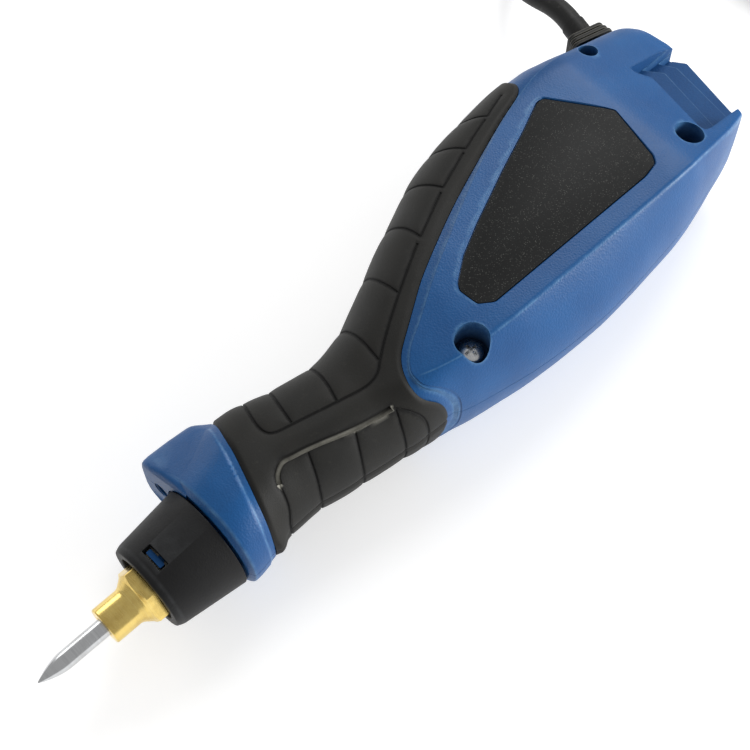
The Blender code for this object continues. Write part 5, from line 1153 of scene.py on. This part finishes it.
def makeRelief(r):
    bend, e, out = r["corner"], r["round"], r["outside"]
    rings, marks = [], []

    def ring(out, drawn=None, less=0.0, mark=0.0):  # an oblong drawn in by a little, or the round core
        made = []
        for k in range(40):
            corner, turn = k // 10, math.pi / 2 * (k // 10 + (k % 10) / 9)
            a, b, radius = 0.0, 0.0, r["core"] - less
            if drawn is not None:
                a = (r["long"] - less - bend) * (1, -1, -1, 1)[corner]
                b = (r["wide"] - less - bend) * (1, 1, -1, -1)[corner]
                radius = bend - drawn
            made.append(exitSpot(a + radius * math.cos(turn), out, b + radius * math.sin(turn)))
        marks.extend([mark] * 40)
        rings.append(made)

    # the third value paints a highlight on each ring's rounded edge
    rounded = (0.0, e, 0.0), (0.3 * e, 0.3 * e, 1.0), (e, 0.0, 0.6), (1.6 * e, 0.0, 0.0)
    ring(r["inside"])
    ring(out)
    for k in range(r["rings"]):
        less = k * r["taper"]
        if k:
            ring(out)
            out += r["groove"]
            ring(out)
        for step, drawn, mark in rounded:
            ring(out + step, drawn, less, mark)
        out += r["thick"]
        for step, drawn, mark in reversed(rounded):
            ring(out - step, drawn, less, mark)
    slimmer, end = r["neck"]
    ring(out)
    ring(out, None, slimmer)
    ring(end, None, slimmer)
    piece = stack("strainRelief", rings)
    setMark(piece, "edge", np.array(marks))
    return dress(piece, "relief", "housing", ["strain_relief"], 20.0)


tie = {
    "width": 0.0080, "thick": 0.0005, "round": 0.0022,
    "low": -0.01725, "high": -0.00395, "near": 0.0388, "far": 0.0655,
    # the band's section: across and into its thickness
    "section": ((-1, 0.15), (-0.97, 0.0), (0.97, 0.0), (1, 0.15),
                (1, 0.85), (0.97, 1.0), (-0.97, 1.0), (-1, 0.85)),
}


def makeTie(t):
    r, x, half = t["round"], cordFacts["coilCentre"][0], t["width"] / 2
    near, far, low, high = t["near"] + r, t["far"] - r, t["low"] + r, t["high"] - r
    rings = []
    for y, z, start in ((far, high, 0.0), (near, high, 0.5), (near, low, 1.0), (far, low, 1.5)):
        for angle in (math.pi * (start + k / 12) for k in range(7)):
            rings.append([(x + side * half, y + math.cos(angle) * (r - depth * t["thick"]),
                           z + math.sin(angle) * (r - depth * t["thick"])) for side, depth in t["section"]])
    piece = stack("cordTie", rings, closed=True)
    return dress(piece, "relief", "housing", ["cord_tie"], 50.0)


plug = {
    "place": (0.2710, -0.0084, 0.0023), "neck": 0.0140, "neckRadius": 0.0044, "ribs": 4, "ribDepth": 0.0007,
    "length": 0.0350, "halfWidth": 0.0170, "halfHeight": 0.0068, "pinSpacing": 0.0190, "pinRadius": 0.0020,
    "pinLength": 0.0190, "pinSeat": 0.0060, "pinHole": 0.0022, "neckEnd": 0.0040,
    # where a rib of the neck starts and ends, and how deep it is there
    "rib": ((0.0, 0.5), (0.06, 0.12), (0.14, 0.0), (0.42, 0.0),
            (0.50, 0.12), (0.56, 0.9), (0.62, 1.0), (0.94, 1.0)),
    # along the body, its width and its height
    "sections": ((0.0, 0.29, 0.66), (0.10, 0.34, 0.74), (0.22, 0.45, 0.86), (0.38, 0.68, 0.95),
                 (0.55, 0.90, 1.0), (0.70, 0.985, 1.0), (0.85, 1.0, 1.0), (0.95, 0.995, 0.99),
                 (0.985, 0.975, 0.95), (1.0, 0.93, 0.86)),
}


def makePlug(p):
    (x, y, z), step, rings = p["place"], p["neck"] / p["ribs"], []

    def ring(at, wide, high, power=2.0):  # round, or squarer with a higher power
        around = ((math.cos(t), math.sin(t)) for t in turns(72))
        rings.append([(at, y + math.copysign(abs(c) ** (2 / power), c) * wide,
                       z + math.copysign(abs(s) ** (2 / power), s) * high) for c, s in around])

    for k in range(p["ribs"]):
        for share, drawn in p["rib"]:
            radius = p["neckRadius"] - p["ribDepth"] * drawn
            ring(x + k * p["neck"] / p["ribs"] + share * step, radius, radius)
    ring(x + p["neck"] - 0.0002, p["neckEnd"], p["neckEnd"])
    for along, wide, high in p["sections"]:
        power = 2.0 + 1.6 * min(1, along * 2.5)
        ring(x + p["neck"] + along * p["length"], wide * p["halfWidth"], high * p["halfHeight"], power)
    piece, front = stack("plugBody", rings), x + p["neck"] + p["length"]
    for side in (-1, 1):
        hole = [(front - p["pinSeat"] - 0.0003, p["pinHole"]), (front + 0.002, p["pinHole"])]
        carve(piece, lathe("pinHole", hole, 32, (y + side * p["pinSpacing"] / 2, z)))
    return dress(piece, "cord", "housing", ["plug_body"], 40.0)


def makePin(p, number, side):
    x, y, z = p["place"]
    front, r = x + p["neck"] + p["length"], p["pinRadius"]
    tip = front + p["pinLength"]
    dome = [(tip - r + r * math.sin(t), r * max(math.cos(t), 0.004)) for t in quarter(8)]
    profile = [(front - p["pinSeat"], r), (front + 0.0004, r), *dome]
    piece = lathe(f"plugPin{number}", profile, 48, (y + side * p["pinSpacing"] / 2, z))
    return dress(piece, "steel", "housing", [f"plug_pin_{number}"], 40.0)


makeRelief(relief)
cordTie = makeTie(tie)
plugBody = makePlug(plug)
pins = [makePin(plug, 1, -1), makePin(plug, 2, 1)]
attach(cord, "housing")
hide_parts("cord_lead", "cord_coil", "cord_tail")
print("cord pieces made")


# Dial and switch, on the left

dial = {
    "radius": 0.0080, "thick": 0.0024, "setIn": 0.0005, "teeth": 24, "toothDeep": 0.0005, "hub": 0.0030,
    "range": math.radians(100), "pinOffset": 0.0010, "pinRadius": 0.0009, "mark": (0.0012, 0.0060, 0.0008),
    # depth under the face, and how far the side is drawn in there
    "edge": ((0.0, 0.0009), (0.0001, 0.0005), (0.0004, 0.0001), (0.0007, 0.0)), "highlightRadius": 0.0074,
}


def makeDial(d, place):
    (x, y), outer = place, d["setIn"] - housing["halfWidth"]
    inner = outer + d["thick"]
    rings = []
    for z, drawn in [(outer + deep, drawn) for deep, drawn in d["edge"]] + [(inner, 0.0)]:
        ring = []
        for t in turns(d["teeth"] * 8):
            radius = d["radius"] - d["toothDeep"] * (0.5 - 0.5 * math.cos(t * d["teeth"])) ** 0.7 - drawn
            ring.append((x + radius * math.cos(t), y + radius * math.sin(t), z))
        rings.append(ring)
    piece = stack("strokeDial", rings)
    wall = blueShell["inset"] - housing["halfWidth"]
    carve(piece, upright("hub", disc(place, d["hub"]), inner - 0.0004, wall), "UNION")
    turn = d["range"] / 2
    pin = (x + d["pinOffset"] * math.sin(turn), y + d["pinOffset"] * math.cos(turn))
    carve(piece, upright("pin", disc(pin, d["pinRadius"], 32), wall - 0.0004, wall + 0.0027), "UNION")
    wide, long, deep = d["mark"]
    edge = y - d["radius"]
    pointer = oblong(x - wide / 2, x + wide / 2, edge + d["toothDeep"] + wide, edge + long)
    carve(piece, upright("pointer", roundedOutline(pointer, wide * 0.45), outer - 0.002, outer + deep))
    # painted highlight in a ring near the dial's rounded rim
    away = np.linalg.norm(points(piece)[:, :2] - place, axis=1)
    setMark(piece, "edge", 1 - climb(np.abs(away - d["highlightRadius"]), 0.0002, 0.0006))
    return dress(piece, "cone", "dial", ["stroke_dial"], 36.0)


switch = {
    "length": 0.0150, "width": 0.0090, "depth": 0.0085, "wall": 0.0010, "floor": 0.0012, "setIn": 0.0004,
    "rockerHalf": 0.0059, "pivot": 0.0030, "rise": 0.0013, "dip": 0.0005, "back": 0.0022, "backShare": 0.76,
    "tilt": math.radians(9), "grooves": (-0.0043, -0.0036, 0.0036, 0.0043), "grooveRadius": 0.00022,
    # across the rocker, and how far its edges are drawn in there
    "across": ((-1.0, 0.00025), (-0.97, 0.00008), (-0.92, 0.0), (0.92, 0.0), (0.97, 0.00008), (1.0, 0.00025)),
}


def makeSwitchFrame(s, place):
    (x, y), outer, a, b = place, s["setIn"] - housing["halfWidth"], s["length"] / 2, s["width"] / 2
    layers = (outer, -0.0003), (outer + 0.0001, -0.0001), (outer + 0.0003, 0.0), (outer + s["depth"], 0.0)
    piece = layered("switchFrame", roundedOutline(oblong(x - a, x + a, y - b, y + b), 0.0006), layers)
    a, b = a - s["wall"], b - s["wall"]
    pocket = roundedOutline(oblong(x - a, x + a, y - b, y + b), 0.0003)
    carve(piece, upright("pocket", pocket, outer - 0.002, outer + s["depth"] - s["floor"]))
    return dress(piece, "cone", "housing", ["switch_frame"], 34.0)


def makeRocker(s, place):
    (x, y), reach, back = place, s["rockerHalf"], s["rockerHalf"] * s["backShare"]
    half, pivot = s["width"] / 2 - s["wall"] - 0.0003, s["pivot"] - housing["halfWidth"]
    c, sn = math.cos(s["tilt"]), math.sin(s["tilt"])

    def height(a):  # of the hollow face
        return s["dip"] + (s["rise"] - s["dip"]) * (abs(a) / reach) ** 1.8

    def tilted(a, b):
        return x + a * c + b * sn, pivot + a * sn - b * c

    face = [-reach + reach * 2 * k / 14 for k in range(15)]
    outline = [*((a, height(a)) for a in face), (back, -s["back"]), (-back, -s["back"])]
    rings = []
    for edge, drawn in s["across"]:
        shape = [tilted(a * (1 - drawn / 0.006), b - (drawn if b > 0 else 0)) for a, b in outline]
        rings.append([(px, y + edge * half, pz) for px, pz in shape])
    piece = stack("switchRocker", rings)
    for a in s["grooves"]:  # for the finger, at both ends
        around = disc(tilted(a, height(a)), s["grooveRadius"], 12)
        ends = y - (half - 0.0010), y + (half - 0.0010)
        carve(piece, stack("groove", [[(px, end, pz) for px, pz in around] for end in ends]))
    return dress(piece, "cone", "rocker", ["switch_rocker"], 34.0)


makeDial(dial, sideSpot(blueShell["dial"]))
makeSwitchFrame(switch, sideSpot(blueShell["switch"]))
makeRocker(switch, sideSpot(blueShell["switch"]))
print("dial and switch made")


# Pieces inside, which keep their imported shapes

insideFinishes = {
    "collet": "brass", "plunger": "steel", "return_spring": "steel", "stop_slide": "steel", "armature": "iron",
    "core": "iron", "bobbin": "cone", "winding": "copper", "plunger_bush": "bronze", "rear_guide": "bronze",
    "dust_seal": "felt", "circuit_board": "board", "terminal_block": "ivory",
}
for node, finish in insideFinishes.items():
    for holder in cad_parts[node].material_slots:
        holder.material = finishes[finish]
print("inside pieces finished")


# Floor and light

studio = {
    "floorSize": 3.0, "world": 0.45, "floorGlow": 0.38,
    # place, aim, size across, power
    "lights": (
        ((0.70, 0.38, 0.75), (0.02, 0.0, 0.0), 0.55, 5.0),
        ((0.00, 0.80, 0.35), (0.0, 0.0, 0.0), 0.45, 1.1),
        ((0.62, -0.62, 0.23), (0.04, 0.0, 0.02), 0.46, 8.0),
    ),
}


def makeFloor(s):
    size, steps, low = s["floorSize"], 12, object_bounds()[0][2]
    places = [size * (k / steps - 0.5) for k in range(steps + 1)]
    row = steps + 1
    corners = [i * row + j for i in range(steps) for j in range(steps)]
    made = addPiece("studioFloor", [(x, y, low) for x in places for y in places],
                    [(k, k + row, k + row + 1, k + 1) for k in corners])
    f = Finish("studioPaper", Emission_Color=(1.0, 1.0, 1.0, 1.0), Emission_Strength=s["floorGlow"])
    paper = f.noise(40.0, 5.0)
    made.data.materials.append(f.feed(Base_Color=f.blend(paper, (0.84, 0.84, 0.84), (0.88, 0.88, 0.88)),
                                      Roughness=paper * 0.1 + 0.8, Normal=f.bump(paper, 0.0002, 0.1)))
    made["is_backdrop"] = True


def makeLights(s):
    for number, (place, aim, size, power) in enumerate(s["lights"], 1):
        data = bpy.data.lights.new(f"softBox{number}", "AREA")
        data.shape, data.size, data.energy = "DISK", size, power
        made = bpy.data.objects.new(f"softBox{number}", data)
        turn = (Vector(place) - Vector(aim)).to_track_quat("Z", "Y").to_matrix().to_4x4()
        made.matrix_world = Matrix.Translation(place) @ turn
        bpy.context.scene.collection.objects.link(made)
    world = bpy.data.worlds.new("studioAir")
    world.use_nodes = True
    sky = world.node_tree.nodes["Background"].inputs
    sky["Color"].default_value, sky["Strength"].default_value = (1.0, 1.0, 1.0, 1.0), s["world"]
    bpy.context.scene.world = world
    bpy.context.scene.view_settings.view_transform = "Standard"


makeFloor(studio)
makeLights(studio)
print("floor and lights made")
